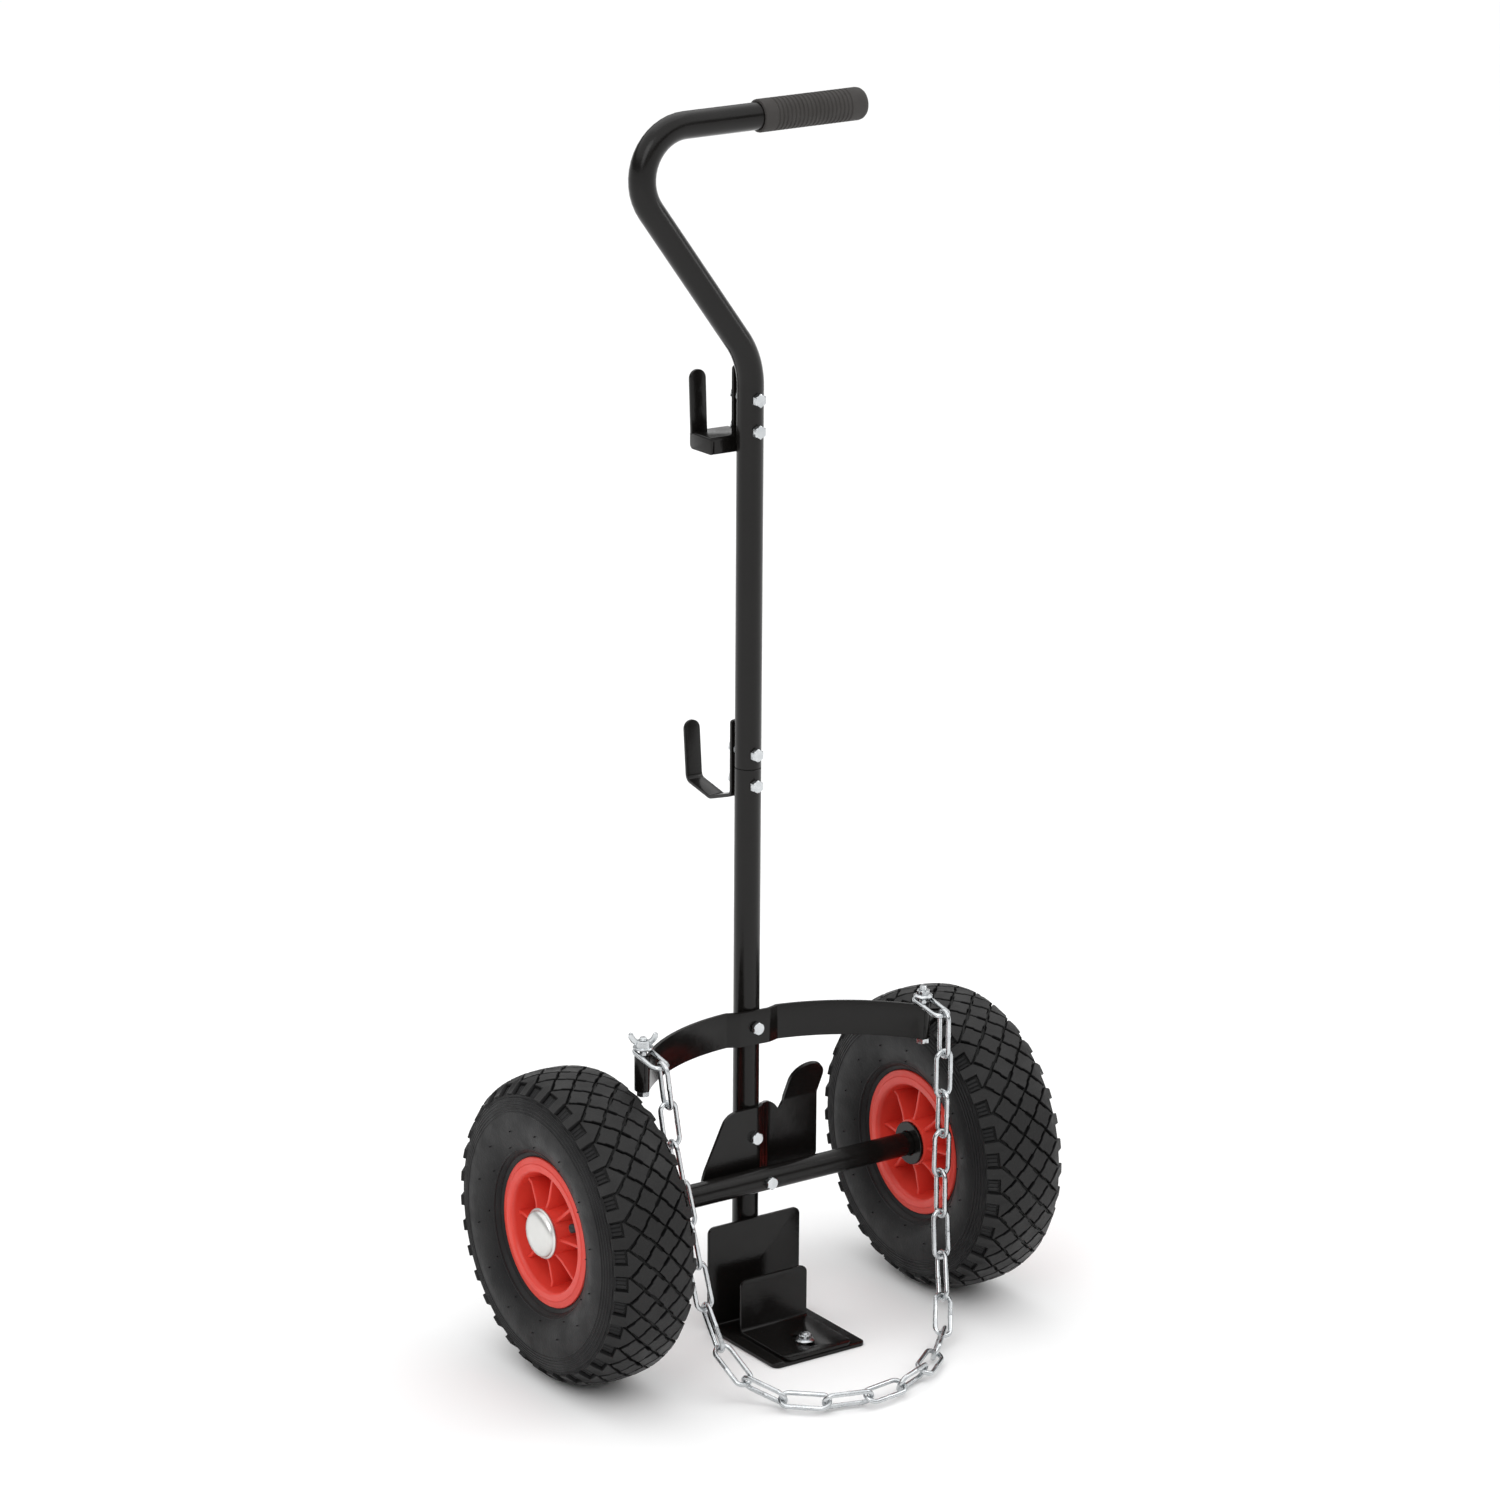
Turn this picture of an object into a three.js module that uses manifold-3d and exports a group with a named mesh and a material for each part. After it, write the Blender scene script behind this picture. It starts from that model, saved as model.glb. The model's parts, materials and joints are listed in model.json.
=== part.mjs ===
// Two-wheeled hand truck with a single bent-tube post, a chain hoop, cable hooks and a toe plate.
// Millimetres, +Z up. The origin lies on the underside of the toe plate, straight below the middle of the
// axle. +X is the side of the grip, -Y is the side of the load.
import * as THREE from "three";
import { mergeVertices } from "three/addons/utils/BufferGeometryUtils.js";
import Module from "manifold-3d";

const wasm = await Module();
wasm.setup();

// ---------------------------------------------------------------- driving dimensions
const GAP = 0.3; // clearance between pieces that touch
const SHEET = 3; // thickness of every plate, strap and hook

const WHEEL_DIAMETER = 260;
const WHEEL_WIDTH = 85;
const WHEEL_TRACK = 369.2; // between the wheels' middle planes
const RIM_LIP_RADIUS = 62.6;
const RIM_WIDTH = 64;
const RIM_WALL = 3.4;
const RIM_HUB_RADIUS = 20;
const RIM_RIBS = 8;
const RIM_RIB_WIDTH = 3;
const TYRE_WALL = 5;
const VALVE_DIAMETER = 8;
const VALVE_LENGTH = 28;

const AXLE_DIAMETER = 20;
const AXLE_WALL = 2;
const AXLE_PROUD = 3.4; // how far the axle's end stands out of the hub
const HUB_CAP_DIAMETER = 42;
const HUB_CAP_HEIGHT = 8;
const STOP_WASHER_DIAMETER = 37;

const TUBE_DIAMETER = 22;
const TUBE_WALL = 1.5;
const AXLE_TO_PLATE = 2.2; // free space between the axle and the sheet behind it
const POST_FOOT = 3; // the post's lower end above the floor
const JOINT_HEIGHT = 482; // where the upper tube stands on the lower one
const SLEEVE_LENGTH = 110;

const HANDLE_KNEE_HEIGHT = 821.7; // where the two straight centre lines meet
const HANDLE_LEAN = 36.6; // degrees off upright
const HANDLE_TOP_HEIGHT = 1013.9; // the centre line at the upper corner
const HANDLE_RISE = 1; // degrees, towards the grip
const KNEE_RADIUS = 65;
const TOP_RADIUS = 40.6;
const GRIP_WALL = 2;
const GRIP_LENGTH = 101;
const GRIP_END = 106; // the grip's outer end, along X
const GRIP_CAP = 3;

const BOLT_DIAMETER = 6;
const BOLT_CLEARANCE = 0.4; // on the radius of every bolt hole
const HEX_FLATS = 10;
const HEAD_HEIGHT = 4;
const NUT_HEIGHT = 5;
const THREAD_PROUD = 2;

const TOE_WIDTH = 92;
const TOE_HEIGHT = 91;
const TOE_REACH = 98; // from the wall's front face to the front edge
const CLAMP_WIDTH = 66.5;
const CLAMP_HEIGHT = 48;
const CLAMP_FRONT = -85;
const CLAMP_WALL_Y = -17.4; // front face of the clamp's wall
const CLAMP_BOLT_Y = -62;
const SLOT_BACK = 16; // from the clamp bolt to the slot's rear end
const SLOT_FRONT = 12;
const SHEET_BEND = 4; // middle radius of the bent sheets
const SHEET_CORNER = 6;

const HOOK_WIDTH = 15;
const HOOK_WASHER = 1.2;
const HOOK_BOLT_SPACING = 26.6;
const LOWER_HOOK_BOLT = 495; // the joint's upper bolt
const LOWER_HOOK_TOP = 519.5;
const LOWER_HOOK_FOOT = 455.5;
const LOWER_HOOK_VALLEY = [72, 445.6];
const LOWER_HOOK_TOE = [105.5, 452.5];
const LOWER_HOOK_TIP = [110, 502];
const UPPER_HOOK_BOLT = 790.4;
const UPPER_HOOK_TOP = 815;
const UPPER_HOOK_SHELF = 758.4; // upper face of the shelf
const UPPER_HOOK_SKIRT = 14; // how far the shelf's edges are folded down
const UPPER_HOOK_LEFT = -29.4;
const UPPER_HOOK_DEPTH = 30;
const UPPER_HOOK_FINGER = 50;

const HOOP_RADIUS = 165;
const HOOP_CENTRE_Y = -146;
const HOOP_ABOVE_TYRE = 0; // middle of the strap, from the height of the top of the tyres
const HOOP_STRAP = 30;
const HOOP_SPREAD = 50.8; // degrees from the middle to each eye
const HOOP_SLEW = -5; // degrees, the hoop's turn about the post
const EYE_DIAMETER = 12.6;
const EYE_OFFSET = 5.5;

const HOLDER_BELOW_AXLE = 3;
const HOLDER_ABOVE_AXLE = 59;
const HOLDER_BOLT_ABOVE_AXLE = 32.6;
const HOLDER_WING_Y = 26.5;
const HOLDER_LEFT = -54; // the foot's left corner
const HOLDER_LEFT_TOP = -28;
const HOLDER_NOTCH_X = 33;
const HOLDER_NOTCH_DEPTH = 7;
const FINGER_ABOVE_AXLE = 54; // the bend at the finger's root
const FINGER_LENGTH = 38;
const FINGER_LEAN = 25; // degrees, towards the load
const FINGER_LEFT = 37.5;
const FINGER_RIGHT = 71.5;

const LINK_WIRE = 4;
const LINK_WIDTH = 17.7;
const LINK_OPENING = 36.3; // inner length
const LINK_PLAY = 0.6; // slack at each joint, along the chain
const FREE_LINKS = 23;
const END_LINK_DROOP = 6; // degrees

// ---------------------------------------------------------------- places worked out from them
const DEG = Math.PI / 180;
const axleHeight = WHEEL_DIAMETER / 2;
const axleRadius = AXLE_DIAMETER / 2;
const tubeRadius = TUBE_DIAMETER / 2;
const wheelX = WHEEL_TRACK / 2;
const hubFace = RIM_WIDTH / 2;
const sheetFront = axleRadius + AXLE_TO_PLATE; // front face of what is bolted to the post's front
const sheetBack = sheetFront + SHEET;
const postY = sheetBack + GAP + tubeRadius;
const postBack = postY + tubeRadius;
const holeRadius = BOLT_DIAMETER / 2 + BOLT_CLEARANCE;
const linkHalfWidth = (LINK_WIDTH - LINK_WIRE) / 2;
const linkPitch = LINK_OPENING - LINK_PLAY;
const hexRadius = HEX_FLATS / 2 / Math.cos(30 * DEG);
const hoopHeight = WHEEL_DIAMETER + HOOP_ABOVE_TYRE;
const holderFoot = axleHeight - HOLDER_BELOW_AXLE;
const holderTop = axleHeight + HOLDER_ABOVE_AXLE;
const holderBolt = axleHeight + HOLDER_BOLT_ABOVE_AXLE;
const fingerRoot = axleHeight + FINGER_ABOVE_AXLE;
const handleLean = HANDLE_LEAN * DEG;
const handleRise = HANDLE_RISE * DEG;

// ---------------------------------------------------------------- finishes
const finish = (color, roughness, metalness) => () =>
  new THREE.MeshStandardMaterial({ color, roughness, metalness });
const blackPaint = finish(0x1a1817, 0.3, 0.2);
const redPlastic = finish(0xd93a30, 0.45, 0);
const tyreRubber = finish(0x3a3a3c, 0.85, 0);
const gripRubber = finish(0x3b3937, 0.75, 0);
const zinc = finish(0xd8dcdc, 0.3, 0.9);
const capMetal = finish(0xd9dad6, 0.35, 0.8);
const blackPlastic = finish(0x161616, 0.5, 0);

// ---------------------------------------------------------------- solids and meshes
// A closed three.js geometry as a solid that can be joined and cut.
function solid(geometry) {
  const bare = geometry.clone();
  bare.deleteAttribute("normal");
  bare.deleteAttribute("uv");
  const merged = mergeVertices(bare, 1e-4);
  return new wasm.Manifold(
    new wasm.Mesh({
      numProp: 3,
      vertProperties: new Float32Array(merged.attributes.position.array),
      triVerts: new Uint32Array(merged.index.array),
    }),
  );
}

// The solid's faces as a three.js geometry.
function geometryOf(body) {
  const { vertProperties, triVerts } = body.getMesh();
  const geometry = new THREE.BufferGeometry();
  geometry.setAttribute("position", new THREE.BufferAttribute(vertProperties, 3));
  geometry.setIndex(new THREE.BufferAttribute(triVerts, 1));
  geometry.computeVertexNormals();
  return geometry;
}

const truck = new THREE.Group();

function add(name, body, material, parent = truck) {
  const geometry = body.isBufferGeometry ? body : geometryOf(body);
  const mesh = new THREE.Mesh(geometry, material());
  mesh.name = name;
  parent.add(mesh);
  return mesh;
}

// ---------------------------------------------------------------- outlines
// Points along a bent line: every inner corner becomes an arc of the given radius.
function bent(corners, radii, steps = 4) {
  const line = [corners[0].clone()];
  for (let i = 1; i < corners.length - 1; i++) {
    const before = corners[i - 1].clone().sub(corners[i]).normalize();
    const after = corners[i + 1].clone().sub(corners[i]).normalize();
    const half = Math.acos(THREE.MathUtils.clamp(before.dot(after), -1, 1)) / 2;
    const radius = Array.isArray(radii) ? radii[i - 1] : radii;
    const setback = radius / Math.tan(half);
    const start = corners[i].clone().addScaledVector(before, setback);
    const towards = before.clone().add(after).normalize();
    const centre = corners[i].clone().addScaledVector(towards, radius / Math.sin(half));
    const arm = start.clone().sub(centre);
    const turn = Math.PI - 2 * half;
    const side = before.clone().multiplyScalar(-radius);
    for (let k = 0; k <= steps; k++) {
      const angle = (turn * k) / steps;
      const point = centre.clone().addScaledVector(arm, Math.cos(angle));
      line.push(point.addScaledVector(side, Math.sin(angle)));
    }
  }
  line.push(corners[corners.length - 1].clone());
  return line;
}

// The outline of a sheet of the given thickness, seen on edge, with this line as its middle.
function sheetOutline(line, thickness = SHEET) {
  const left = [];
  const right = [];
  line.forEach((point, i) => {
    const into = point.clone().sub(line[Math.max(i - 1, 0)]).normalize();
    const out = line[Math.min(i + 1, line.length - 1)].clone().sub(point).normalize();
    const along = into.clone().add(out).normalize();
    const bend = i > 0 && i < line.length - 1 ? into.dot(along) : 1;
    const offset = new THREE.Vector2(-along.y, along.x).multiplyScalar(thickness / 2 / bend);
    left.push(point.clone().add(offset));
    right.unshift(point.clone().sub(offset));
  });
  return new THREE.Shape([...left, ...right]);
}

const v2 = (pairs) => pairs.map(([a, b]) => new THREE.Vector2(a, b));

function roundedRectangle(x0, y0, x1, y1, radius) {
  const shape = new THREE.Shape();
  shape.moveTo(x0 + radius, y0);
  shape.lineTo(x1 - radius, y0);
  shape.absarc(x1 - radius, y0 + radius, radius, -90 * DEG, 0);
  shape.lineTo(x1, y1 - radius);
  shape.absarc(x1 - radius, y1 - radius, radius, 0, 90 * DEG);
  shape.lineTo(x0 + radius, y1);
  shape.absarc(x0 + radius, y1 - radius, radius, 90 * DEG, 180 * DEG);
  shape.lineTo(x0, y0 + radius);
  shape.absarc(x0 + radius, y0 + radius, radius, 180 * DEG, 270 * DEG);
  return shape;
}

// ---------------------------------------------------------------- basic solids
const extrude = (shape, depth, segments = 2) =>
  new THREE.ExtrudeGeometry(shape, { depth, bevelEnabled: false, curveSegments: segments });

// An outline drawn in X and Y, between two heights.
const upright = (shape, z0, z1, segments) =>
  solid(extrude(shape, z1 - z0, segments).translate(0, 0, z0));

// An outline drawn in X and Z, between two depths.
const facing = (shape, y0, y1, segments) =>
  solid(extrude(shape, y1 - y0, segments).rotateX(90 * DEG).translate(0, y1, 0));

// An outline drawn in Y and Z, between two widths.
function sideways(shape, x0, x1) {
  const turn = new THREE.Matrix4().makeBasis(
    new THREE.Vector3(0, 1, 0),
    new THREE.Vector3(0, 0, 1),
    new THREE.Vector3(1, 0, 0),
  );
  return solid(extrude(shape, x1 - x0).applyMatrix4(turn).translate(x0, 0, 0));
}

const block = (x0, y0, z0, x1, y1, z1) =>
  solid(
    new THREE.BoxGeometry(x1 - x0, y1 - y0, z1 - z0).translate((x0 + x1) / 2, (y0 + y1) / 2, (z0 + z1) / 2),
  );

// A round or many-sided rod along Y, between two depths.
const rodY = (radius, y0, y1, x, z, sides = 10) =>
  solid(new THREE.CylinderGeometry(radius, radius, y1 - y0, sides).translate(x, (y0 + y1) / 2, z));

const rodZ = (radius, z0, z1, x, y, sides = 10) =>
  solid(
    new THREE.CylinderGeometry(radius, radius, z1 - z0, sides)
      .rotateX(90 * DEG)
      .translate(x, y, (z0 + z1) / 2),
  );

// A profile of [radius, height] corners spun about the Z axis. It starts and ends on the axis, or closes.
function spun(profile, segments) {
  const onAxis = profile[0][0] === 0 && profile[profile.length - 1][0] === 0;
  const points = v2(onAxis ? profile : [...profile, profile[0]]);
  if (THREE.ShapeUtils.area(points) < 0) points.reverse();
  return new THREE.LatheGeometry(points, segments).rotateX(90 * DEG);
}

// ---------------------------------------------------------------- tubes along a line
// A path whose stations are exactly the given points, so that bends get the stations they need.
class StationPath extends THREE.Curve {
  constructor(stations) {
    super();
    this.stations = stations;
  }
  getUtoTmapping(u) {
    return u;
  }
  getPoint(t) {
    const place = t * (this.stations.length - 1);
    const i = Math.min(Math.floor(place), this.stations.length - 2);
    return this.stations[i].clone().lerp(this.stations[i + 1], place - i);
  }
  getTangent(t) {
    const last = this.stations.length - 1;
    const i = Math.round(t * last);
    const into = this.stations[i].clone().sub(this.stations[Math.max(i - 1, 0)]).normalize();
    const out = this.stations[Math.min(i + 1, last)].clone().sub(this.stations[i]).normalize();
    return into.add(out).normalize();
  }
}

function sweep(section, stations) {
  return new THREE.ExtrudeGeometry(section, {
    steps: stations.length - 1,
    extrudePath: new StationPath(stations),
    bevelEnabled: false,
  });
}

function ringSection(outer, inner, sides) {
  const circle = (radius) =>
    Array.from({ length: sides }, (_, k) => {
      const angle = (2 * Math.PI * k) / sides;
      return new THREE.Vector2(radius * Math.cos(angle), radius * Math.sin(angle));
    });
  const section = new THREE.Shape(circle(outer));
  if (inner > 0) section.holes.push(new THREE.Path(circle(inner)));
  return section;
}

const TUBE_SIDES = 16;
const tubeSection = ringSection(tubeRadius, tubeRadius - TUBE_WALL, TUBE_SIDES);

// ---------------------------------------------------------------- bolts
// A hexagon-headed bolt with its nut, along Y: the head's seat in front, the nut's seat behind.
function throughBolt(headSeat, nutSeat, height) {
  const head = rodY(hexRadius, headSeat - HEAD_HEIGHT, headSeat, 0, height, 6);
  const nut = rodY(hexRadius, nutSeat, nutSeat + NUT_HEIGHT, 0, height, 6);
  const end = nutSeat + NUT_HEIGHT + THREAD_PROUD;
  return rodY(BOLT_DIAMETER / 2, headSeat - HEAD_HEIGHT / 2, end, 0, height).add(head).add(nut);
}

const boltHole = (height, y0 = -100, y1 = 200) => rodY(holeRadius, y0, y1, 0, height);

const hookBoltLow = LOWER_HOOK_BOLT - HOOK_BOLT_SPACING;
const shelfBolt = UPPER_HOOK_SHELF + hexRadius + GAP; // its nut stands just above the shelf
const hookSeat = postBack + GAP + HOOK_WASHER + GAP; // front face of both hooks' spines
const boltHeights = {
  joint_bolt_upper: LOWER_HOOK_BOLT,
  joint_bolt_lower: hookBoltLow,
  hook_bolt_upper: UPPER_HOOK_BOLT,
  hook_bolt_lower: shelfBolt,
};

// ---------------------------------------------------------------- post, sleeve and handle
const jointGap = GAP / 2;
const postLine = [
  new THREE.Vector3(0, postY, POST_FOOT),
  new THREE.Vector3(0, postY, JOINT_HEIGHT - jointGap),
];
const lowerPost = [hookBoltLow, hoopHeight, holderBolt, axleHeight].reduce(
  (body, height) => body.subtract(boltHole(height)),
  solid(sweep(tubeSection, postLine)),
);
add("lower_post", lowerPost, blackPaint);

const sleeveRadius = (tubeRadius - TUBE_WALL) * Math.cos(Math.PI / TUBE_SIDES) - GAP;
const sleeveLine = [-0.5, 0.5].map(
  (end) => new THREE.Vector3(0, postY, JOINT_HEIGHT + end * SLEEVE_LENGTH),
);
const sleeve = solid(sweep(ringSection(sleeveRadius, sleeveRadius - TUBE_WALL, TUBE_SIDES), sleeveLine))
  .subtract(boltHole(LOWER_HOOK_BOLT))
  .subtract(boltHole(hookBoltLow));
add("post_sleeve", sleeve, zinc);

const cornerX = -(HANDLE_TOP_HEIGHT - HANDLE_KNEE_HEIGHT) * Math.tan(handleLean);
const barHeight = (x) => HANDLE_TOP_HEIGHT + (x - cornerX) * Math.tan(handleRise);
const tubeEnd = GRIP_END - GRIP_CAP - GAP;
const handleCorners = [
  [0, JOINT_HEIGHT + jointGap],
  [0, HANDLE_KNEE_HEIGHT],
  [cornerX, HANDLE_TOP_HEIGHT],
  [tubeEnd, barHeight(tubeEnd)],
].map(([x, z]) => new THREE.Vector3(x, postY, z));
const handleLine = bent(handleCorners, [KNEE_RADIUS, TOP_RADIUS], 7);
const handle = [LOWER_HOOK_BOLT, UPPER_HOOK_BOLT, shelfBolt].reduce(
  (body, height) => body.subtract(boltHole(height)),
  solid(sweep(tubeSection, handleLine)),
);
add("handle_tube", handle, blackPaint);

// The grip is a rubber cup pushed over the bar's end.
const gripBore = tubeRadius + GAP;
const gripRadius = gripBore + GRIP_WALL;
const gripProfile = [
  [0, GRIP_LENGTH - GRIP_CAP],
  [gripBore, GRIP_LENGTH - GRIP_CAP],
  [gripBore, 0],
  [gripRadius - GRIP_WALL / 2, 0],
  [gripRadius, GRIP_WALL],
  [gripRadius, GRIP_LENGTH - GRIP_CAP],
  [gripRadius - GRIP_CAP, GRIP_LENGTH],
  [0, GRIP_LENGTH],
];
const grip = add("grip", spun(gripProfile, TUBE_SIDES).rotateY(90 * DEG), gripRubber);
const gripStart = GRIP_END - GRIP_LENGTH;
grip.position.set(gripStart, postY, barHeight(gripStart));
grip.rotation.y = -handleRise;

// ---------------------------------------------------------------- cable hooks
const spineY = hookSeat + SHEET / 2;

// The lower hook is one strip: spine, floor dipping to a valley, and an upright finger.
const lowerHookCorners = [
  [spineY, LOWER_HOOK_TOP],
  [spineY, LOWER_HOOK_FOOT],
  LOWER_HOOK_VALLEY,
  LOWER_HOOK_TOE,
  LOWER_HOOK_TIP,
];
const lowerHookLine = bent(v2(lowerHookCorners), SHEET_BEND, 3);
const halfHook = HOOK_WIDTH / 2;
const hookRound = halfHook - 0.1; // radius of the fingers' rounded ends
const belowHook = LOWER_HOOK_VALLEY[1] - 20;
const hookEnds = roundedRectangle(-halfHook, belowHook, halfHook, LOWER_HOOK_TIP[1], hookRound);
const spineEnds = roundedRectangle(-halfHook, belowHook, halfHook, LOWER_HOOK_TOP, SHEET);
const hookMiddle = (spineY + LOWER_HOOK_TOE[0]) / 2;
const lowerHook = sideways(sheetOutline(lowerHookLine), -halfHook, halfHook)
  .intersect(facing(spineEnds, 0, hookMiddle).add(facing(hookEnds, hookMiddle, 200, 4)))
  .subtract(boltHole(LOWER_HOOK_BOLT, 0, hookMiddle))
  .subtract(boltHole(hookBoltLow, 0, hookMiddle));
add("lower_hook", lowerHook, blackPaint);

// The upper hook has a folded shelf that carries its finger to one side of the post.
const shelfBack = hookSeat + UPPER_HOOK_DEPTH;
const shelfFoot = UPPER_HOOK_SHELF - UPPER_HOOK_SKIRT;
const upperFingerTop = UPPER_HOOK_SHELF + UPPER_HOOK_FINGER;
const fingerLean = 3 * DEG;
const upperFingerRight = UPPER_HOOK_LEFT + HOOK_WIDTH;
const fingerShape = roundedRectangle(UPPER_HOOK_LEFT, shelfFoot, upperFingerRight, upperFingerTop, hookRound);
const fingerLine = v2([
  [shelfBack - SHEET / 2, UPPER_HOOK_SHELF - SHEET / 2],
  [shelfBack - SHEET / 2 + UPPER_HOOK_FINGER * Math.tan(fingerLean), upperFingerTop],
]);
const upperFinger = sideways(sheetOutline(fingerLine), UPPER_HOOK_LEFT, upperFingerRight).intersect(
  facing(fingerShape, hookSeat, 200, 4),
);
const spineBack = hookSeat + SHEET;
const spineShape = roundedRectangle(-halfHook, shelfFoot, halfHook, UPPER_HOOK_TOP, SHEET);
const folds = [
  block(UPPER_HOOK_LEFT, hookSeat, UPPER_HOOK_SHELF - SHEET, halfHook, shelfBack, UPPER_HOOK_SHELF),
  block(UPPER_HOOK_LEFT, hookSeat, shelfFoot, halfHook, spineBack, UPPER_HOOK_SHELF),
  block(UPPER_HOOK_LEFT, hookSeat, shelfFoot, UPPER_HOOK_LEFT + SHEET, shelfBack, UPPER_HOOK_SHELF),
  upperFinger,
];
const upperHook = folds
  .reduce((body, fold) => body.add(fold), facing(spineShape, hookSeat, spineBack))
  .subtract(boltHole(UPPER_HOOK_BOLT, 0, shelfBack))
  .subtract(boltHole(shelfBolt, 0, shelfBack));
add("upper_hook", upperHook, blackPaint);

// A washer keeps each hook off the post at its upper bolt.
const washerHeights = { lower_hook_washer: LOWER_HOOK_BOLT, upper_hook_washer: UPPER_HOOK_BOLT };
for (const [name, height] of Object.entries(washerHeights)) {
  const washer = rodY(BOLT_DIAMETER, postBack + GAP, postBack + GAP + HOOK_WASHER, 0, height, 12);
  add(name, washer.subtract(boltHole(height)), zinc);
}

for (const [name, height] of Object.entries(boltHeights)) {
  add(name, throughBolt(postY - tubeRadius - GAP, spineBack + GAP, height), zinc);
}

// ---------------------------------------------------------------- toe plate and sliding clamp
const boltSeat = SHEET + GAP; // the clamp lies on the toe plate
const toeFront = sheetFront - TOE_REACH;
const toeMiddle = sheetFront + SHEET / 2;
const halfToe = TOE_WIDTH / 2;

// An angle of bent sheet: a floor from the front edge, then a wall up to the top.
const angleLine = (front, floor, wall, top) =>
  bent(v2([[front, floor], [wall, floor], [wall, top]]), SHEET_BEND);

// The angle's solid, its four free corners rounded.
function angle(line, half, front, top) {
  const wallShape = roundedRectangle(-half, -20, half, top, SHEET_CORNER);
  const floorShape = roundedRectangle(-half, front, half, 60, SHEET_CORNER);
  return sideways(sheetOutline(line), -half, half)
    .intersect(facing(wallShape, front - 1, 50))
    .intersect(upright(floorShape, -1, top + 1));
}
const countersink = solid(
  new THREE.CylinderGeometry(holeRadius, BOLT_DIAMETER + GAP, SHEET, 12)
    .rotateX(90 * DEG)
    .translate(0, CLAMP_BOLT_Y, SHEET / 2 - 0.01),
);
const toeLine = angleLine(toeFront, SHEET / 2, toeMiddle, TOE_HEIGHT);
const toePlate = angle(toeLine, halfToe, toeFront, TOE_HEIGHT)
  .subtract(rodZ(holeRadius, -1, 10, 0, CLAMP_BOLT_Y, 12))
  .subtract(countersink);
add("toe_plate", toePlate, blackPaint);

const clampFloor = boltSeat + SHEET / 2;
const clampMiddle = CLAMP_WALL_Y + SHEET / 2;
const clampTop = boltSeat + CLAMP_HEIGHT;
const clampLine = angleLine(CLAMP_FRONT, clampFloor, clampMiddle, clampTop);
const halfClamp = CLAMP_WIDTH / 2;
const slot = new THREE.Shape();
slot.absarc(0, CLAMP_BOLT_Y + SLOT_BACK - holeRadius, holeRadius, 0, 180 * DEG);
slot.absarc(0, CLAMP_BOLT_Y - SLOT_FRONT + holeRadius, holeRadius, 180 * DEG, 360 * DEG);
const clampAngle = angle(clampLine, halfClamp, CLAMP_FRONT, clampTop)
  .subtract(upright(slot, 0, boltSeat + SHEET + 1, 5));
add("clamp_angle", clampAngle, blackPaint);

// A countersunk bolt from below, with a flange nut on top.
const clampTopFace = boltSeat + SHEET;
const flangeSeat = clampTopFace + GAP;
const bolt = spun(
  [
    [0, 0.1],
    [BOLT_DIAMETER - 0.2, 0.1],
    [BOLT_DIAMETER / 2, SHEET],
    [BOLT_DIAMETER / 2, flangeSeat + NUT_HEIGHT + THREAD_PROUD],
    [0, flangeSeat + NUT_HEIGHT + THREAD_PROUD],
  ],
  12,
);
function flangeNut(seat, x, y) {
  const flange = spun([[0, 0], [8, 0], [8, 1.2], [6, 2.4], [0, 2.4]], 16).translate(x, y, seat);
  return solid(flange).add(rodZ(hexRadius, seat + 1, seat + NUT_HEIGHT + 1, x, y, 6));
}
const clampBolt = solid(bolt.translate(0, CLAMP_BOLT_Y, 0)).add(flangeNut(flangeSeat, 0, CLAMP_BOLT_Y));
add("clamp_bolt", clampBolt, zinc);

// ---------------------------------------------------------------- holder plate behind the axle
// Seen from above the sheet runs straight across the post's front, wraps its right side and goes on as a
// wing.
const wrapRadius = postY - (sheetFront + SHEET / 2);
const wrapEnd = -25 * DEG;
const holderLine = v2([[HOLDER_LEFT - 1, sheetFront + SHEET / 2]]);
for (let k = 0; k <= 6; k++) {
  const angle = -90 * DEG + ((wrapEnd + 90 * DEG) * k) / 6;
  holderLine.push(new THREE.Vector2(wrapRadius * Math.cos(angle), postY + wrapRadius * Math.sin(angle)));
}
holderLine.push(...v2([[22, HOLDER_WING_Y], [FINGER_RIGHT + 1, HOLDER_WING_Y]]));
const notchFloor = fingerRoot - HOLDER_NOTCH_DEPTH;
const holderOutline = new THREE.Shape(
  v2([
    [HOLDER_LEFT, holderFoot],
    [FINGER_RIGHT, holderFoot],
    [FINGER_RIGHT, fingerRoot + 1],
    [FINGER_LEFT, fingerRoot + 1],
    [HOLDER_NOTCH_X, notchFloor],
    [HOLDER_NOTCH_X - HOLDER_NOTCH_DEPTH, fingerRoot + SHEET],
    [tubeRadius, holderTop],
    [HOLDER_LEFT_TOP, holderTop],
    [HOLDER_LEFT + 2, holderFoot + 12],
  ]),
);
const halfFinger = (FINGER_RIGHT - FINGER_LEFT) / 2;
const holderFinger = extrude(
  roundedRectangle(-halfFinger, -SHEET / 2, halfFinger, FINGER_LENGTH, halfFinger - 0.1),
  SHEET,
  5,
)
  .translate(0, 0, -SHEET / 2)
  .rotateX((90 + FINGER_LEAN) * DEG)
  .translate(FINGER_LEFT + halfFinger, HOLDER_WING_Y, fingerRoot);
const fingerBase = block(
  FINGER_LEFT,
  HOLDER_WING_Y - SHEET / 2,
  fingerRoot - 1,
  FINGER_RIGHT,
  HOLDER_WING_Y + SHEET / 2,
  fingerRoot + 1,
);
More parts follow.
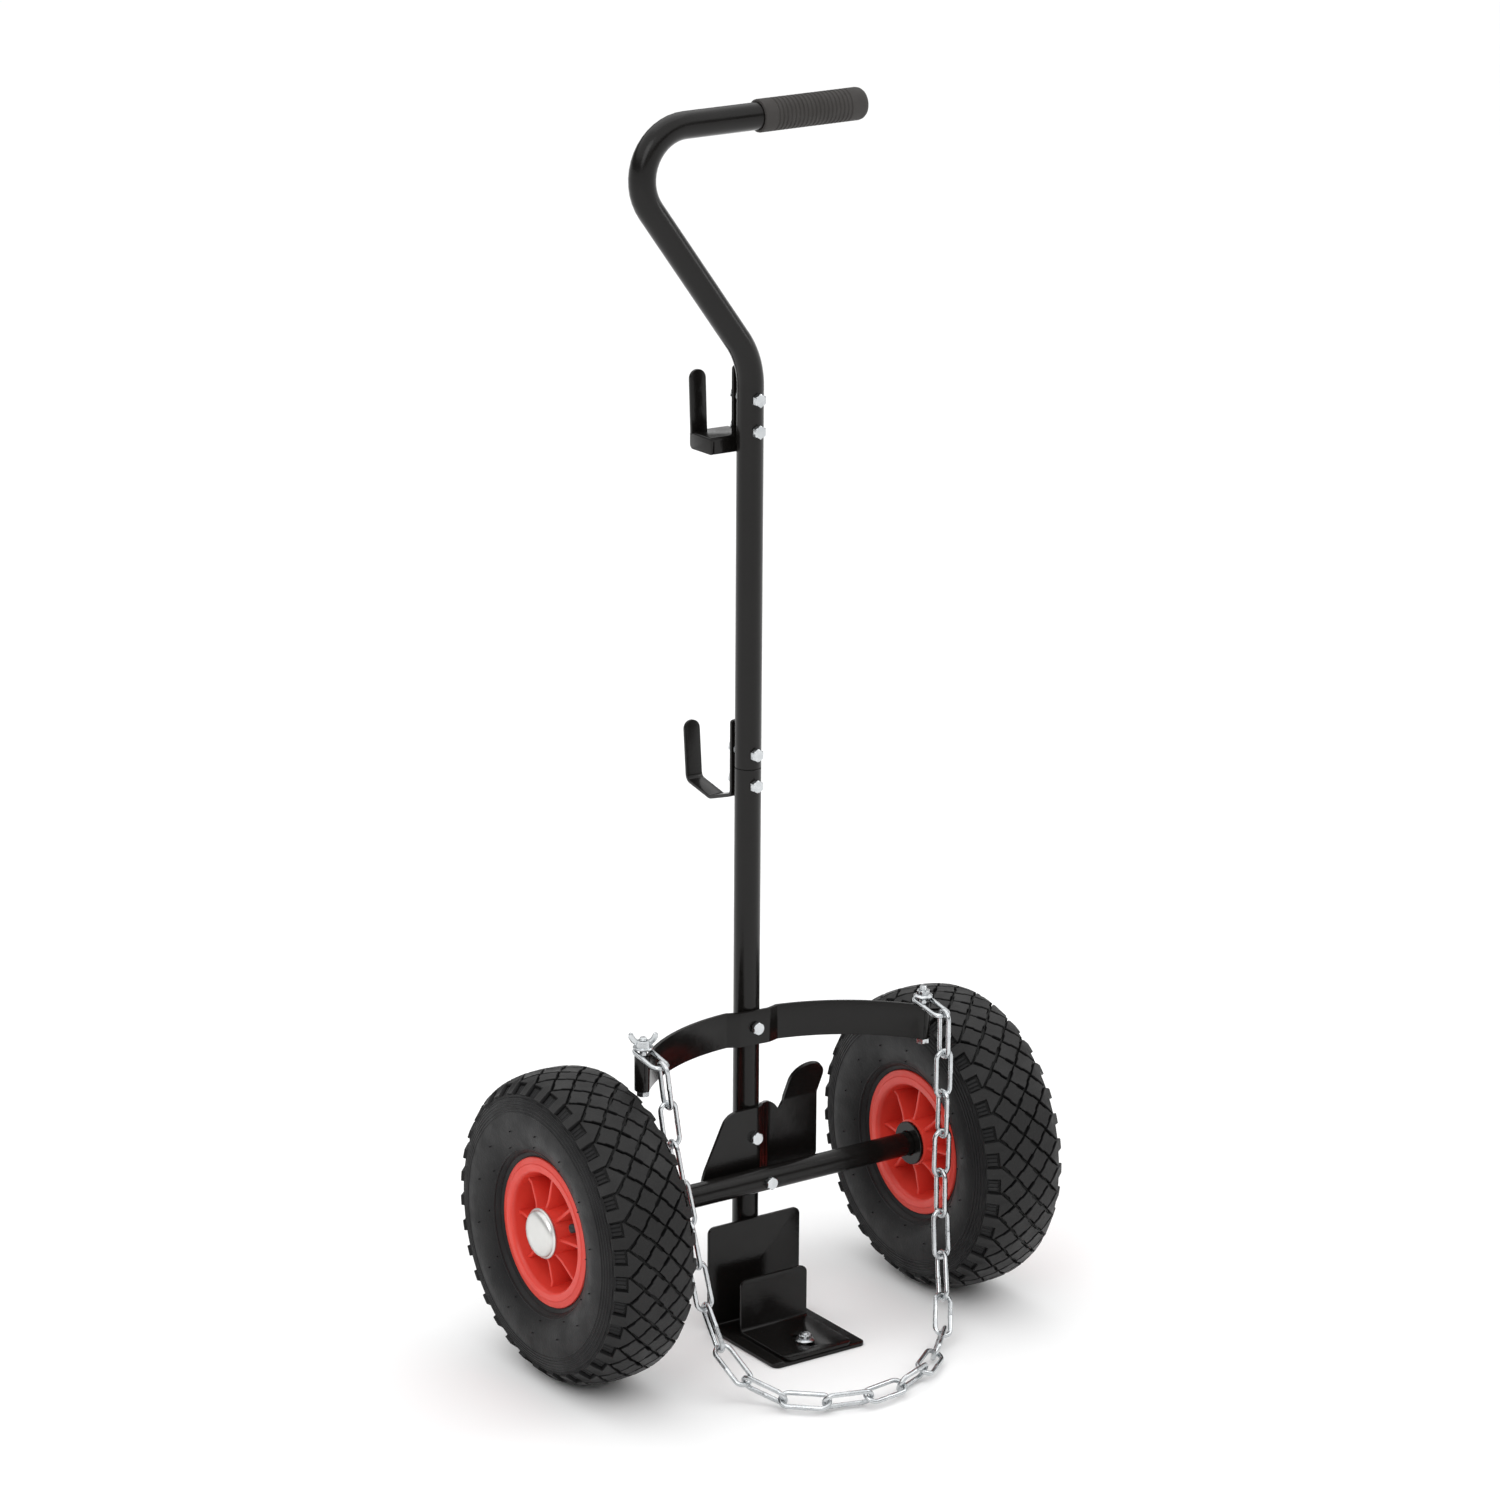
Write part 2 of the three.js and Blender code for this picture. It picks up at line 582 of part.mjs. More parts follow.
const holderPlate = upright(sheetOutline(holderLine), holderFoot, holderTop)
  .intersect(facing(holderOutline, 0, 60))
  .add(solid(holderFinger).subtract(block(0, 0, 0, 100, 60, fingerRoot)))
  .add(fingerBase)
  .subtract(boltHole(holderBolt, 0, postY))
  .subtract(boltHole(axleHeight, 0, postY));
add("holder_plate", holderPlate, blackPaint);
add("plate_bolt", throughBolt(sheetFront - GAP, postBack + GAP, holderBolt), zinc);
add("axle_bolt", throughBolt(-axleRadius - GAP, postBack + GAP, axleHeight), zinc);

// ---------------------------------------------------------------- hoop with its chain fixings
// The hoop is turned a little about the post, so everything on it hangs in a group of its own.
const hoop = new THREE.Group();
hoop.position.set(0, postY, 0);
hoop.rotation.z = HOOP_SLEW * DEG;
truck.add(hoop);

const arcAt = (degrees, radius = HOOP_RADIUS) =>
  new THREE.Vector2(
    radius * Math.sin(degrees * DEG),
    HOOP_CENTRE_Y - postY + radius * Math.cos(degrees * DEG),
  );
const strapFrontY = sheetFront + SHEET / 2 - postY;
const JOGGLE_HALF = 14;
const JOGGLE_END = 8; // degrees
const ARC_STEPS = 11;
const strapLine = [];
for (let k = 0; k <= ARC_STEPS; k++) {
  strapLine.push(arcAt(-HOOP_SPREAD + ((HOOP_SPREAD - JOGGLE_END) * k) / ARC_STEPS));
}
strapLine.push(...v2([[-JOGGLE_HALF, strapFrontY], [JOGGLE_HALF, strapFrontY]]));
for (let k = ARC_STEPS; k >= 0; k--) {
  strapLine.push(arcAt(HOOP_SPREAD - ((HOOP_SPREAD - JOGGLE_END) * k) / ARC_STEPS));
}
const strapFoot = hoopHeight - HOOP_STRAP / 2;
const strapTop = hoopHeight + HOOP_STRAP / 2;
const eyePlaces = [-1, 1].map((side) => arcAt(side * HOOP_SPREAD, HOOP_RADIUS + EYE_OFFSET));
const slewShift = (Math.abs(strapFrontY) + SHEET / 2) * Math.sin(Math.abs(HOOP_SLEW) * DEG);
const hoopBoltHole = rodY(holeRadius + slewShift, -60, 0, 0, hoopHeight, 12);
const strap = eyePlaces.reduce(
  (body, eye) => body.add(rodZ(EYE_DIAMETER / 2, strapFoot, strapTop, eye.x, eye.y, 14)),
  upright(sheetOutline(strapLine), strapFoot, strapTop),
);
const drilled = eyePlaces.reduce(
  (body, eye) => body.subtract(rodZ(holeRadius, strapFoot - 1, strapTop + 1, eye.x, eye.y, 12)),
  strap.subtract(hoopBoltHole),
);
add("chain_hoop", drilled, blackPaint, hoop);
const slewLift = (HEX_FLATS / 2) * Math.tan(Math.abs(HOOP_SLEW) * DEG) * 1.4;
add("hoop_bolt", throughBolt(sheetFront - GAP - slewLift, postBack + GAP, hoopHeight), zinc);

// An end link lies on each eye under a washer; the bolt goes up through the eye, link and nut.
const droop = END_LINK_DROOP * DEG;
const linkSeat = strapTop + GAP + LINK_WIRE / 2 + (EYE_DIAMETER / 2) * Math.tan(droop);
const linkTop = linkSeat + (LINK_WIDTH / 2) * Math.tan(droop) + LINK_WIRE / 2 + GAP;
const bowDistance = LINK_OPENING - (linkHalfWidth - LINK_WIRE / 2) + LINK_WIRE / 2;
const BOLT_TIP = 3;
const WASHER = 1.6;
const nutSeat = linkTop + WASHER;

for (const [k, side] of ["left", "right"].entries()) {
  const { x, y } = eyePlaces[k];
  const head = rodZ(hexRadius, strapFoot - GAP - HEAD_HEIGHT, strapFoot - GAP, x, y, 6);
  const shank = rodZ(BOLT_DIAMETER / 2, strapFoot - GAP - 1, nutSeat + NUT_HEIGHT + BOLT_TIP, x, y);
  add(`${side}_chain_bolt`, head.add(shank), zinc, hoop);
}

// The left end is closed by hand with a wing nut, the right end by a flange nut.
const WING_SPAN = 24;
const WING_HEIGHT = 12;
const wingTip = WING_SPAN / 2;
const wingCorners = [
  [2, 1.5],
  [6, 1.2],
  [wingTip, 8],
  [wingTip - 1.5, WING_HEIGHT],
  [wingTip - 4, WING_HEIGHT - 1.5],
  [4, 5.5],
  [2, 5.5],
];
const wingShape = new THREE.Shape(v2(wingCorners));
const mirrorWing = new THREE.Shape(v2(wingCorners.map(([x, z]) => [-x, z]).reverse()));
const wingBody = solid(spun([[0, -WASHER], [8.5, -WASHER], [8.5, 0], [6, 0], [5.2, 5], [0, 5]], 16))
  .add(facing(wingShape, -1.3, 1.3))
  .add(facing(mirrorWing, -1.3, 1.3))
  .subtract(rodZ(holeRadius - 0.1, -WASHER - 1, 20, 0, 0));
const wingNut = add("wing_nut", wingBody, zinc, hoop);
wingNut.position.set(eyePlaces[0].x, eyePlaces[0].y, nutSeat);
wingNut.rotation.z = -25 * DEG;

const lockNut = flangeNut(linkTop, 0, 0).subtract(rodZ(holeRadius - 0.1, linkTop - 1, linkTop + 20, 0, 0));
add("chain_lock_nut", lockNut, zinc, hoop).position.set(eyePlaces[1].x, eyePlaces[1].y, 0);

// ---------------------------------------------------------------- chain
// A link lies in its own XY plane, long axis along X, centred on the origin. One leg carries the weld.
const LINK_SIDES = 6;
const BOW_STEPS = 5;
function makeLink() {
  const straight = (LINK_OPENING + LINK_WIRE) / 2 - linkHalfWidth;
  const stations = [new THREE.Vector3(0.4, -linkHalfWidth, 0)];
  for (const side of [1, -1]) {
    for (let k = 0; k <= BOW_STEPS; k++) {
      const angle = -90 * DEG * side + (180 * DEG * k) / BOW_STEPS;
      stations.push(
        new THREE.Vector3(
          side * straight + linkHalfWidth * Math.cos(angle),
          linkHalfWidth * Math.sin(angle),
          0,
        ),
      );
    }
  }
  stations.push(new THREE.Vector3(-0.4, -linkHalfWidth, 0));
  const wire = solid(sweep(ringSection(LINK_WIRE / 2, 0, LINK_SIDES), stations));
  const weld = new THREE.CylinderGeometry(LINK_WIRE / 2 + 0.2, LINK_WIRE / 2 + 0.2, 3, 8);
  return geometryOf(wire.add(solid(weld.rotateZ(90 * DEG).translate(0, -linkHalfWidth, 0))));
}
const linkGeometry = makeLink();

// Puts a link between two points, its flat side facing the given direction.
function placeLink(name, from, to, faceDirection, parent) {
  const along = to.clone().sub(from).normalize();
  const face = faceDirection.clone().addScaledVector(along, -faceDirection.dot(along)).normalize();
  const across = face.clone().cross(along);
  const place = new THREE.Matrix4().makeBasis(along, across, face);
  place.setPosition(from.clone().add(to).multiplyScalar(0.5));
  const mesh = add(name, linkGeometry, zinc, parent);
  mesh.applyMatrix4(place);
}

const up = new THREE.Vector3(0, 0, 1);
const linkName = (k) => `chain_link_${String(k).padStart(2, "0")}`;
const bowCentres = [];
for (const [k, eye] of eyePlaces.entries()) {
  // The near bow is centred on the bolt, the far bow points at the load and droops.
  const out = new THREE.Vector3(0, -Math.cos(droop), -Math.sin(droop));
  const seat = new THREE.Vector3(eye.x, eye.y, linkSeat);
  const nearEnd = seat.clone().addScaledVector(out, LINK_WIRE / 2 - linkHalfWidth);
  const farEnd = nearEnd.clone().addScaledVector(out, LINK_OPENING);
  const face = new THREE.Vector3(0, -Math.sin(droop), Math.cos(droop));
  placeLink(linkName(k === 0 ? FREE_LINKS + 2 : 1), nearEnd, farEnd, face, hoop);
  bowCentres.push(seat.addScaledVector(out, bowDistance));
}

// The free links hang from both end links and lie in a loop on the floor. The route is read from right to
// left; its forward reach is found so that the links exactly fill it.
hoop.updateMatrix();
const hang = (LINK_WIRE + LINK_PLAY) / 2;
const [leftTop, rightTop] = bowCentres.map((bow) =>
  bow.clone().applyMatrix4(hoop.matrix).addScaledVector(up, LINK_WIRE + LINK_PLAY / 2 - hang),
);
const floorLine = LINK_WIDTH / 2 + 0.3;
const CHAIN_ROUTE = [
  [125, -80, 200],
  [126, -78, 110],
  [121, -87, 50],
  [102, -112, 16],
  [74, -137, floorLine],
  [40, -160, floorLine],
  [4, -172, floorLine],
  [-34, -174, floorLine],
  [-68, -161, floorLine],
  [-93, -134, floorLine + 1],
  [-104, -103, 24],
  [-107, -78, 56],
  [-114, -64, 120],
  [-127, -56, 200],
];
const SLACK_FROM = -75; // points in front of this line move with the slack

function chainCurve(reach) {
  const points = CHAIN_ROUTE.map(([x, y, z]) => {
    const forward = y < SLACK_FROM ? SLACK_FROM + (y - SLACK_FROM) * reach : y;
    return new THREE.Vector3(x, forward, z);
  });
  return new THREE.CatmullRomCurve3([rightTop, ...points, leftTop], false, "centripetal");
}

// Steps along the curve in straight strides of one pitch; returns the points and what is left at the end.
function strides(curve) {
  const samples = curve.getSpacedPoints(1500);
  const places = [samples[0]];
  let i = 1;
  while (places.length <= FREE_LINKS && i < samples.length) {
    const from = places[places.length - 1];
    while (i < samples.length && samples[i].distanceTo(from) < linkPitch) i++;
    if (i < samples.length) {
      const before = samples[i - 1];
      const d0 = before.distanceTo(from);
      const d1 = samples[i].distanceTo(from);
      places.push(before.clone().lerp(samples[i], (linkPitch - d0) / (d1 - d0)));
    }
  }
  const short = FREE_LINKS + 1 - places.length;
  const last = places[places.length - 1];
  const left = short > 0 ? -short * linkPitch : last.distanceTo(samples[samples.length - 1]);
  return { places, left };
}

let shortReach = 0.3;
let longReach = 2.5;
for (let k = 0; k < 40; k++) {
  const reach = (shortReach + longReach) / 2;
  if (strides(chainCurve(reach)).left > 0.05) longReach = reach;
  else shortReach = reach;
}
const chainPlaces = strides(chainCurve(longReach)).places;
chainPlaces[FREE_LINKS] = leftTop;

// Every second link faces along the hoop, the others across it; the frame is carried along the chain and
// what it lacks at the far end is shared out as an even twist.
const hingeLine = rightTop.clone().sub(leftTop).normalize();
function carried(twistPerLink) {
  const faces = [];
  const face = hingeLine.clone();
  for (let k = 0; k < FREE_LINKS; k++) {
    const along = chainPlaces[k + 1].clone().sub(chainPlaces[k]).normalize();
    face.addScaledVector(along, -face.dot(along)).normalize().applyAxisAngle(along, twistPerLink);
    faces.push(k % 2 === 0 ? face.clone() : face.clone().cross(along));
  }
  return faces;
}
const untwisted = carried(0)[FREE_LINKS - 1];
const lastAlong = chainPlaces[FREE_LINKS].clone().sub(chainPlaces[FREE_LINKS - 1]).normalize();
const wanted = hingeLine.clone().addScaledVector(lastAlong, -hingeLine.dot(lastAlong)).normalize();
let lack = Math.atan2(untwisted.clone().cross(wanted).dot(lastAlong), untwisted.dot(wanted));
if (Math.abs(lack) > 90 * DEG) lack -= Math.sign(lack) * 180 * DEG;
const linkFaces = carried(lack / FREE_LINKS);
const chain = new THREE.Group();
truck.add(chain);
for (let k = 0; k < FREE_LINKS; k++) {
  placeLink(linkName(k + 2), chainPlaces[k], chainPlaces[k + 1], linkFaces[k], chain);
}

// ---------------------------------------------------------------- axle and wheels
const axleEnd = wheelX + hubFace + AXLE_PROUD;
const axleLine = [-axleEnd, axleEnd].map((x) => new THREE.Vector3(x, 0, axleHeight));
const axle = solid(sweep(ringSection(axleRadius, axleRadius - AXLE_WALL, TUBE_SIDES), axleLine));
add("axle_tube", axle.subtract(boltHole(axleHeight, -50, 50)), blackPaint);

const WHEEL_SEGMENTS = 24;
const boreRadius = (axleRadius + GAP) / Math.cos(Math.PI / WHEEL_SEGMENTS);
const wellRadius = RIM_LIP_RADIUS - 13;
const seatRadius = RIM_LIP_RADIUS - 6.6;
const WEB_HALF = 2.5;

// Rim section from the bore out, one half; the other half mirrors it. Heights are along the axle.
const rimHalf = [
  [boreRadius, hubFace],
  [RIM_HUB_RADIUS, hubFace],
  [RIM_HUB_RADIUS, WEB_HALF],
  [wellRadius - RIM_WALL - 1, WEB_HALF],
  [seatRadius - RIM_WALL - 3, hubFace - 9],
  [seatRadius - RIM_WALL - 1.6, hubFace],
  [RIM_LIP_RADIUS, hubFace],
  [RIM_LIP_RADIUS, hubFace - 3],
  [seatRadius, hubFace - 5],
  [seatRadius - 2.6, hubFace - 15],
  [wellRadius, hubFace - 21],
];
const mirrored = (half) => [...half, ...half.map(([r, h]) => [r, -h]).reverse()];
const rimProfile = mirrored(rimHalf);

const crown = WHEEL_DIAMETER / 2;
const halfWidth = WHEEL_WIDTH / 2;
const beadHeight = hubFace - 5 - GAP;
const section = crown - RIM_LIP_RADIUS;
const tyreOuter = [
  [seatRadius + 0.4, beadHeight],
  [RIM_LIP_RADIUS + 0.6, beadHeight + 0.6],
  [RIM_LIP_RADIUS + 0.05 * section, halfWidth - 8.5],
  [RIM_LIP_RADIUS + 0.2 * section, halfWidth - 2.5],
  [RIM_LIP_RADIUS + 0.48 * section, halfWidth],
  [RIM_LIP_RADIUS + 0.74 * section, halfWidth - 2.5],
  [RIM_LIP_RADIUS + 0.88 * section, halfWidth - 8],
  [RIM_LIP_RADIUS + 0.955 * section, halfWidth - 19],
  [crown, halfWidth - 34],
];
const tyreInner = [
  [crown - TYRE_WALL - 2, halfWidth - 34],
  [RIM_LIP_RADIUS + 0.85 * section - TYRE_WALL, halfWidth - 12 - TYRE_WALL / 2],
  [RIM_LIP_RADIUS + 0.48 * section, halfWidth - TYRE_WALL],
  [RIM_LIP_RADIUS + 0.12 * section, halfWidth - 9 - TYRE_WALL],
  [seatRadius + 0.4, beadHeight - 7],
];
const tyreSection = [
  ...tyreOuter,
  ...tyreOuter.map(([r, h]) => [r, -h]).reverse(),
  ...tyreInner.map(([r, h]) => [r, -h]).reverse(),
  ...tyreInner,
];

const ribRoot = RIM_HUB_RADIUS - 2;
const ribTip = wellRadius - 2;
const ribOutline = new THREE.Shape(
  v2([
    [ribRoot, 0],
    [ribTip, 0],
    [ribTip, hubFace - 16],
    [ribRoot, hubFace - 3],
  ]),
);

// One wheel about Z with its outer side up; the valve leans out through the rim's wall between two ribs.
function wheel(side, x, turn) {
  const hub = new THREE.Group();
  hub.position.set(x, 0, axleHeight);
  hub.rotation.y = 90 * DEG * Math.sign(x);
  truck.add(hub);

  let rim = solid(spun(rimProfile, WHEEL_SEGMENTS));
  for (let k = 0; k < RIM_RIBS; k++) {
    for (const face of [1, -1]) {
      const rib = extrude(ribOutline, RIM_RIB_WIDTH)
        .translate(0, 0, -RIM_RIB_WIDTH / 2)
        .rotateX(90 * DEG * face)
        .rotateZ((360 * DEG * (k + 0.5)) / RIM_RIBS + turn);
      rim = rim.add(solid(rib));
    }
  }
  const valveRoot = [wellRadius + 2, 6];
  const valveLean = 42 * DEG;
  const stem = (radius) =>
    new THREE.CylinderGeometry(radius, radius, VALVE_LENGTH, 10)
      .translate(0, VALVE_LENGTH / 2, 0)
      .rotateX(90 * DEG)
      .rotateY(valveLean - 90 * DEG)
      .translate(valveRoot[0], 0, valveRoot[1])
      .rotateZ(turn);
  const bore = solid(stem(VALVE_DIAMETER / 2 + GAP));
  add(`${side}_rim`, rim.subtract(bore), redPlastic, hub);
  add(`${side}_valve`, stem(VALVE_DIAMETER / 2), blackPlastic, hub);
  add(`${side}_tyre`, spun(tyreSection, WHEEL_SEGMENTS), tyreRubber, hub);

  const capRadius = HUB_CAP_DIAMETER / 2;
  const capProfile = [
    [0, HUB_CAP_HEIGHT - 1.2],
    [capRadius * 0.55, HUB_CAP_HEIGHT - 2],
    [capRadius - 2.5, 2.5],
    [capRadius - 2.5, 0],
    [capRadius, 0],
    [capRadius, 2],
    [capRadius - 2, HUB_CAP_HEIGHT - 3],
    [capRadius * 0.55, HUB_CAP_HEIGHT - 0.6],
    [0, HUB_CAP_HEIGHT],
  ];
  const cap = spun(capProfile, 24).translate(0, 0, hubFace + GAP);
  add(`${side}_hub_cap`, cap, capMetal, hub);
  const stop = spun(
    [
      [boreRadius, -hubFace - GAP - SHEET],
      [STOP_WASHER_DIAMETER / 2, -hubFace - GAP - SHEET],
      [STOP_WASHER_DIAMETER / 2, -hubFace - GAP],
      [boreRadius, -hubFace - GAP],
    ],
    24,
  );
  add(`${side}_stop_washer`, stop, blackPaint, hub);
}
wheel("left", -wheelX, -68 * DEG);
wheel("right", wheelX, 22 * DEG);

export default truck;
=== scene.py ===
# %% [markdown]
# # A hand truck with a chain hoop
# This is a small two-wheeled truck for one upright load. Its frame, joints and sizes come from a packed
# model, which stays fixed. Here each plain node gets a finished mesh in the same place: bent tube, folded
# sheet, moulded wheels, treaded tyres, bolts and a welded chain.
#
# Everything is drawn in millimetres in its own simple position, and one matrix at the end brings it into
# the truck's frame in metres. That keeps the numbers close to the ones a workshop drawing would show.

# %% Load the fixed frame
import json
from math import atan2, cos, degrees, hypot, pi, radians, sin, sqrt, tan

import bmesh
import bpy
import numpy as np
from mathutils import Matrix, Vector


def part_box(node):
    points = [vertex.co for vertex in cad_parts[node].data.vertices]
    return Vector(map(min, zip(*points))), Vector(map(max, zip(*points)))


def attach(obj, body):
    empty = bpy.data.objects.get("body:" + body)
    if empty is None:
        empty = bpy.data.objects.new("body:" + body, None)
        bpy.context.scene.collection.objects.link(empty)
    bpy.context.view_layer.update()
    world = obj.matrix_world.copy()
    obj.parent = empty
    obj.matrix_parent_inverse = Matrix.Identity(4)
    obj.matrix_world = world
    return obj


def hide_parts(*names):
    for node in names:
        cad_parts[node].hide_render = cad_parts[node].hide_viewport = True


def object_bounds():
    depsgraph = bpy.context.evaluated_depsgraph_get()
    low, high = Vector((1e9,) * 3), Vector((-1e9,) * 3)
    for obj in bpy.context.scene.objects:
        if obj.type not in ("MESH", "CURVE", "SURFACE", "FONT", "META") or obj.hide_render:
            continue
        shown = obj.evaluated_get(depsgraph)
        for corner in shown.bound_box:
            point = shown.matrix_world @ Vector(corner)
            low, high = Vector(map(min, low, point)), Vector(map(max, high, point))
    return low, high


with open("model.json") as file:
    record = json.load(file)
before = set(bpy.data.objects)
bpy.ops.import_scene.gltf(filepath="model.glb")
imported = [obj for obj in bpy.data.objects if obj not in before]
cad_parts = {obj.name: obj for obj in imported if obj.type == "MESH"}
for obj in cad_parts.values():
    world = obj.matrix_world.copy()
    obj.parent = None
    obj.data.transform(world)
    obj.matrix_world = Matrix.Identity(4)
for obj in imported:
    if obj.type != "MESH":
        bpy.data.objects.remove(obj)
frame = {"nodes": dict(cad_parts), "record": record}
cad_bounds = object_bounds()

MM = 0.001


# %% [markdown]
# ## Small tools
# A node's box tells where its piece belongs. A finished bmesh becomes an object through one function, so
# that every piece is merged, has its faces pointing outwards, keeps sharp edges sharp, rides on its body
# and names the nodes that it stands for.

# %% Boxes, finishing and joining
Z_AXIS = Vector((0, 0, 1))
TO_METRES = Matrix.Scale(MM, 4)
body_of = {node: body for body, members in frame["record"]["behaviour"]["bodies"].items() for node in members}


def box_mm(node):
    """The lowest and highest corner of a node, in millimetres."""
    low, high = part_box(node)
    return low / MM, high / MM


def middle_mm(node):
    low, high = box_mm(node)
    return (low + high) / 2


def made(result, kind=bmesh.types.BMVert):
    """The vertices, or another kind of item, that a bmesh operator has made."""
    return [item for item in result["geom"] if isinstance(item, kind)]


def bevel(bm, geom, width, segments, affect="EDGES", clamp=False):
    """Rounds or chamfers edges, or the corners of a flat face with affect VERTICES."""
    settings = {"offset_type": "OFFSET", "profile": 0.5, "material": -1, "clamp_overlap": clamp}
    bmesh.ops.bevel(bm, geom=geom, offset=width, segments=segments, affect=affect, **settings)


def join(bm, other, matrix=Matrix.Identity(4)):
    """Adds a bmesh to another, moved by a matrix, and frees it."""
    other.transform(matrix)
    mesh = bpy.data.meshes.new("part")
    other.to_mesh(mesh)
    other.free()
    bm.from_mesh(mesh)
    bpy.data.meshes.remove(mesh)


def piece(name, bm, material, nodes, place=Matrix.Identity(4), sharp=32, outward=True, modifiers=()):
    """Turns a bmesh in millimetres into a finished object that stands for the given nodes."""
    bmesh.ops.remove_doubles(bm, verts=bm.verts, dist=0.002)
    if outward:
        bmesh.ops.recalc_face_normals(bm, faces=bm.faces)
    bm.transform(TO_METRES @ place)
    for face in bm.faces:
        face.smooth = True
    for edge in bm.edges:
        edge.smooth = len(edge.link_faces) == 2 and edge.calc_face_angle(0) < radians(sharp)
    mesh = bpy.data.meshes.new(name)
    bm.to_mesh(mesh)
    bm.free()
    mesh.materials.append(material)
    obj = bpy.data.objects.new(name, mesh)
    bpy.context.scene.collection.objects.link(obj)
    for kind, settings in modifiers:
        modifier = obj.modifiers.new(kind.title(), kind)
        for key, value in settings.items():
            setattr(modifier, key, value)
    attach(obj, body_of[nodes[0]])
    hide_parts(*nodes)
    print(f"{name}: {len(mesh.polygons)} faces for {', '.join(nodes)}")
    return obj


# %% [markdown]
# ## Camera, floor and light
# A pale floor runs far behind the truck, so its edge never shows. One broad light stands above on the left,
# a second on the right lifts the dark sides, and a bright sky overhead whitens the floor. Black gloss paint
# and zinc show mostly what they reflect, so the sky is dark near the horizon, as the walls of a studio are.
# That leaves the large panels as long highlights on the tubes and gives the chain its dark streaks.

# %% Camera
CAMERA_TARGET = Vector((-16.35, 0, 505.55)) * MM
CAMERA_DISTANCE = 4.00719
CAMERA_AZIMUTH, CAMERA_ELEVATION, CAMERA_ROLL = radians(-34.594), radians(16.501), radians(0.376)
CAMERA_LENS, SENSOR = 118.66, 36

level_part = cos(CAMERA_ELEVATION)
backward = Vector((sin(CAMERA_AZIMUTH) * level_part, -cos(CAMERA_AZIMUTH) * level_part, sin(CAMERA_ELEVATION)))
camera_data = bpy.data.cameras.new("camera")
camera_data.lens = CAMERA_LENS
camera_data.sensor_width = SENSOR
camera = bpy.data.objects.new("camera", camera_data)
bpy.context.scene.collection.objects.link(camera)
camera.matrix_world = (
    Matrix.Translation(CAMERA_TARGET + backward * CAMERA_DISTANCE)
    @ backward.to_track_quat("Z", "Y").to_matrix().to_4x4()
    @ Matrix.Rotation(CAMERA_ROLL, 4, "Z")
)
bpy.context.scene.camera = camera
print("camera at", [round(c, 3) for c in camera.matrix_world.translation])

# %% Floor
FLOOR_HALF = 400.0  # metres
FLOOR_GAP = 0.0003  # metres; keeps the floor clear of the faces that rest on it
floor_bm = bmesh.new()
bmesh.ops.create_grid(floor_bm, x_segments=1, y_segments=1, size=FLOOR_HALF)
floor_mesh = bpy.data.meshes.new("floor")
floor_bm.to_mesh(floor_mesh)
floor_bm.free()
floor = bpy.data.objects.new("floor", floor_mesh)
bpy.context.scene.collection.objects.link(floor)
floor.location.z = cad_bounds[0][2] - FLOOR_GAP
floor_paint = bpy.data.materials.new("floor_paper")
floor_paint.use_nodes = True
floor_shader = floor_paint.node_tree.nodes["Principled BSDF"]
FLOOR_LOOK = {"Base Color": (0.93, 0.93, 0.93, 1), "Roughness": 0.9, "Specular IOR Level": 0.1}
for socket, value in FLOOR_LOOK.items():
    floor_shader.inputs[socket].default_value = value
floor_mesh.materials.append(floor_paint)


# %% Lights
def panel(name, place, size, power, aim=(0, 0, 0.45)):
    """A soft rectangular light that looks at a point."""
    data = bpy.data.lights.new(name, "AREA")
    data.shape = "RECTANGLE"
    data.size, data.size_y = size
    data.energy = power
    light = bpy.data.objects.new(name, data)
    light.location = place
    light.rotation_euler = (Vector(place) - Vector(aim)).to_track_quat("Z", "Y").to_euler()
    bpy.context.scene.collection.objects.link(light)


panel("key_light", (-2.6, -2.2, 2.9), (1.6, 2.4), 26)
panel("right_light", (3.0, -1.2, 2.2), (0.9, 2.6), 16)
panel("top_light", (0.2, 1.0, 4.2), (3.0, 3.0), 18, aim=(0, 0.2, 0))

sky = bpy.data.worlds.new("sky")
bpy.context.scene.world = sky
sky.use_nodes = True
sky_tree = sky.node_tree
direction = sky_tree.nodes.new("ShaderNodeTexCoord")
height = sky_tree.nodes.new("ShaderNodeSeparateXYZ")
brightness = sky_tree.nodes.new("ShaderNodeValToRGB")
SKY_STEPS = ((0.1, 0.78), (0.13, 0.12), (0.32, 0.12), (0.48, 1.0))  # height, brightness
SKY_STRENGTH = 1.27
stops = brightness.color_ramp.elements
while len(stops) < len(SKY_STEPS):
    stops.new(1.0)
for stop, (place, level) in zip(stops, SKY_STEPS):
    stop.position, stop.color = place, (level, level, level, 1)
sky_tree.links.new(direction.outputs["Generated"], height.inputs["Vector"])
sky_tree.links.new(height.outputs["Z"], brightness.inputs["Fac"])
sky_tree.links.new(brightness.outputs["Color"], sky_tree.nodes["Background"].inputs["Color"])
sky_tree.nodes["Background"].inputs["Strength"].default_value = SKY_STRENGTH
bpy.context.scene.view_settings.view_transform = "Standard"


# %% [markdown]
# ## Shared surface effects
# Real surfaces differ from plain colour in two ways that several finishes share. A fine grain makes them
# glitter or dull: the orange peel of powder paint, the bloom on zinc, the skin of rubber. Broad blotches
# make the shine uneven. Each effect is a node group with its own scale, so that paint, zinc, rubber and
# plastic use the same group with different values.

# %% Node groups
def link(tree, source, target):
    tree.links.new(source, target)


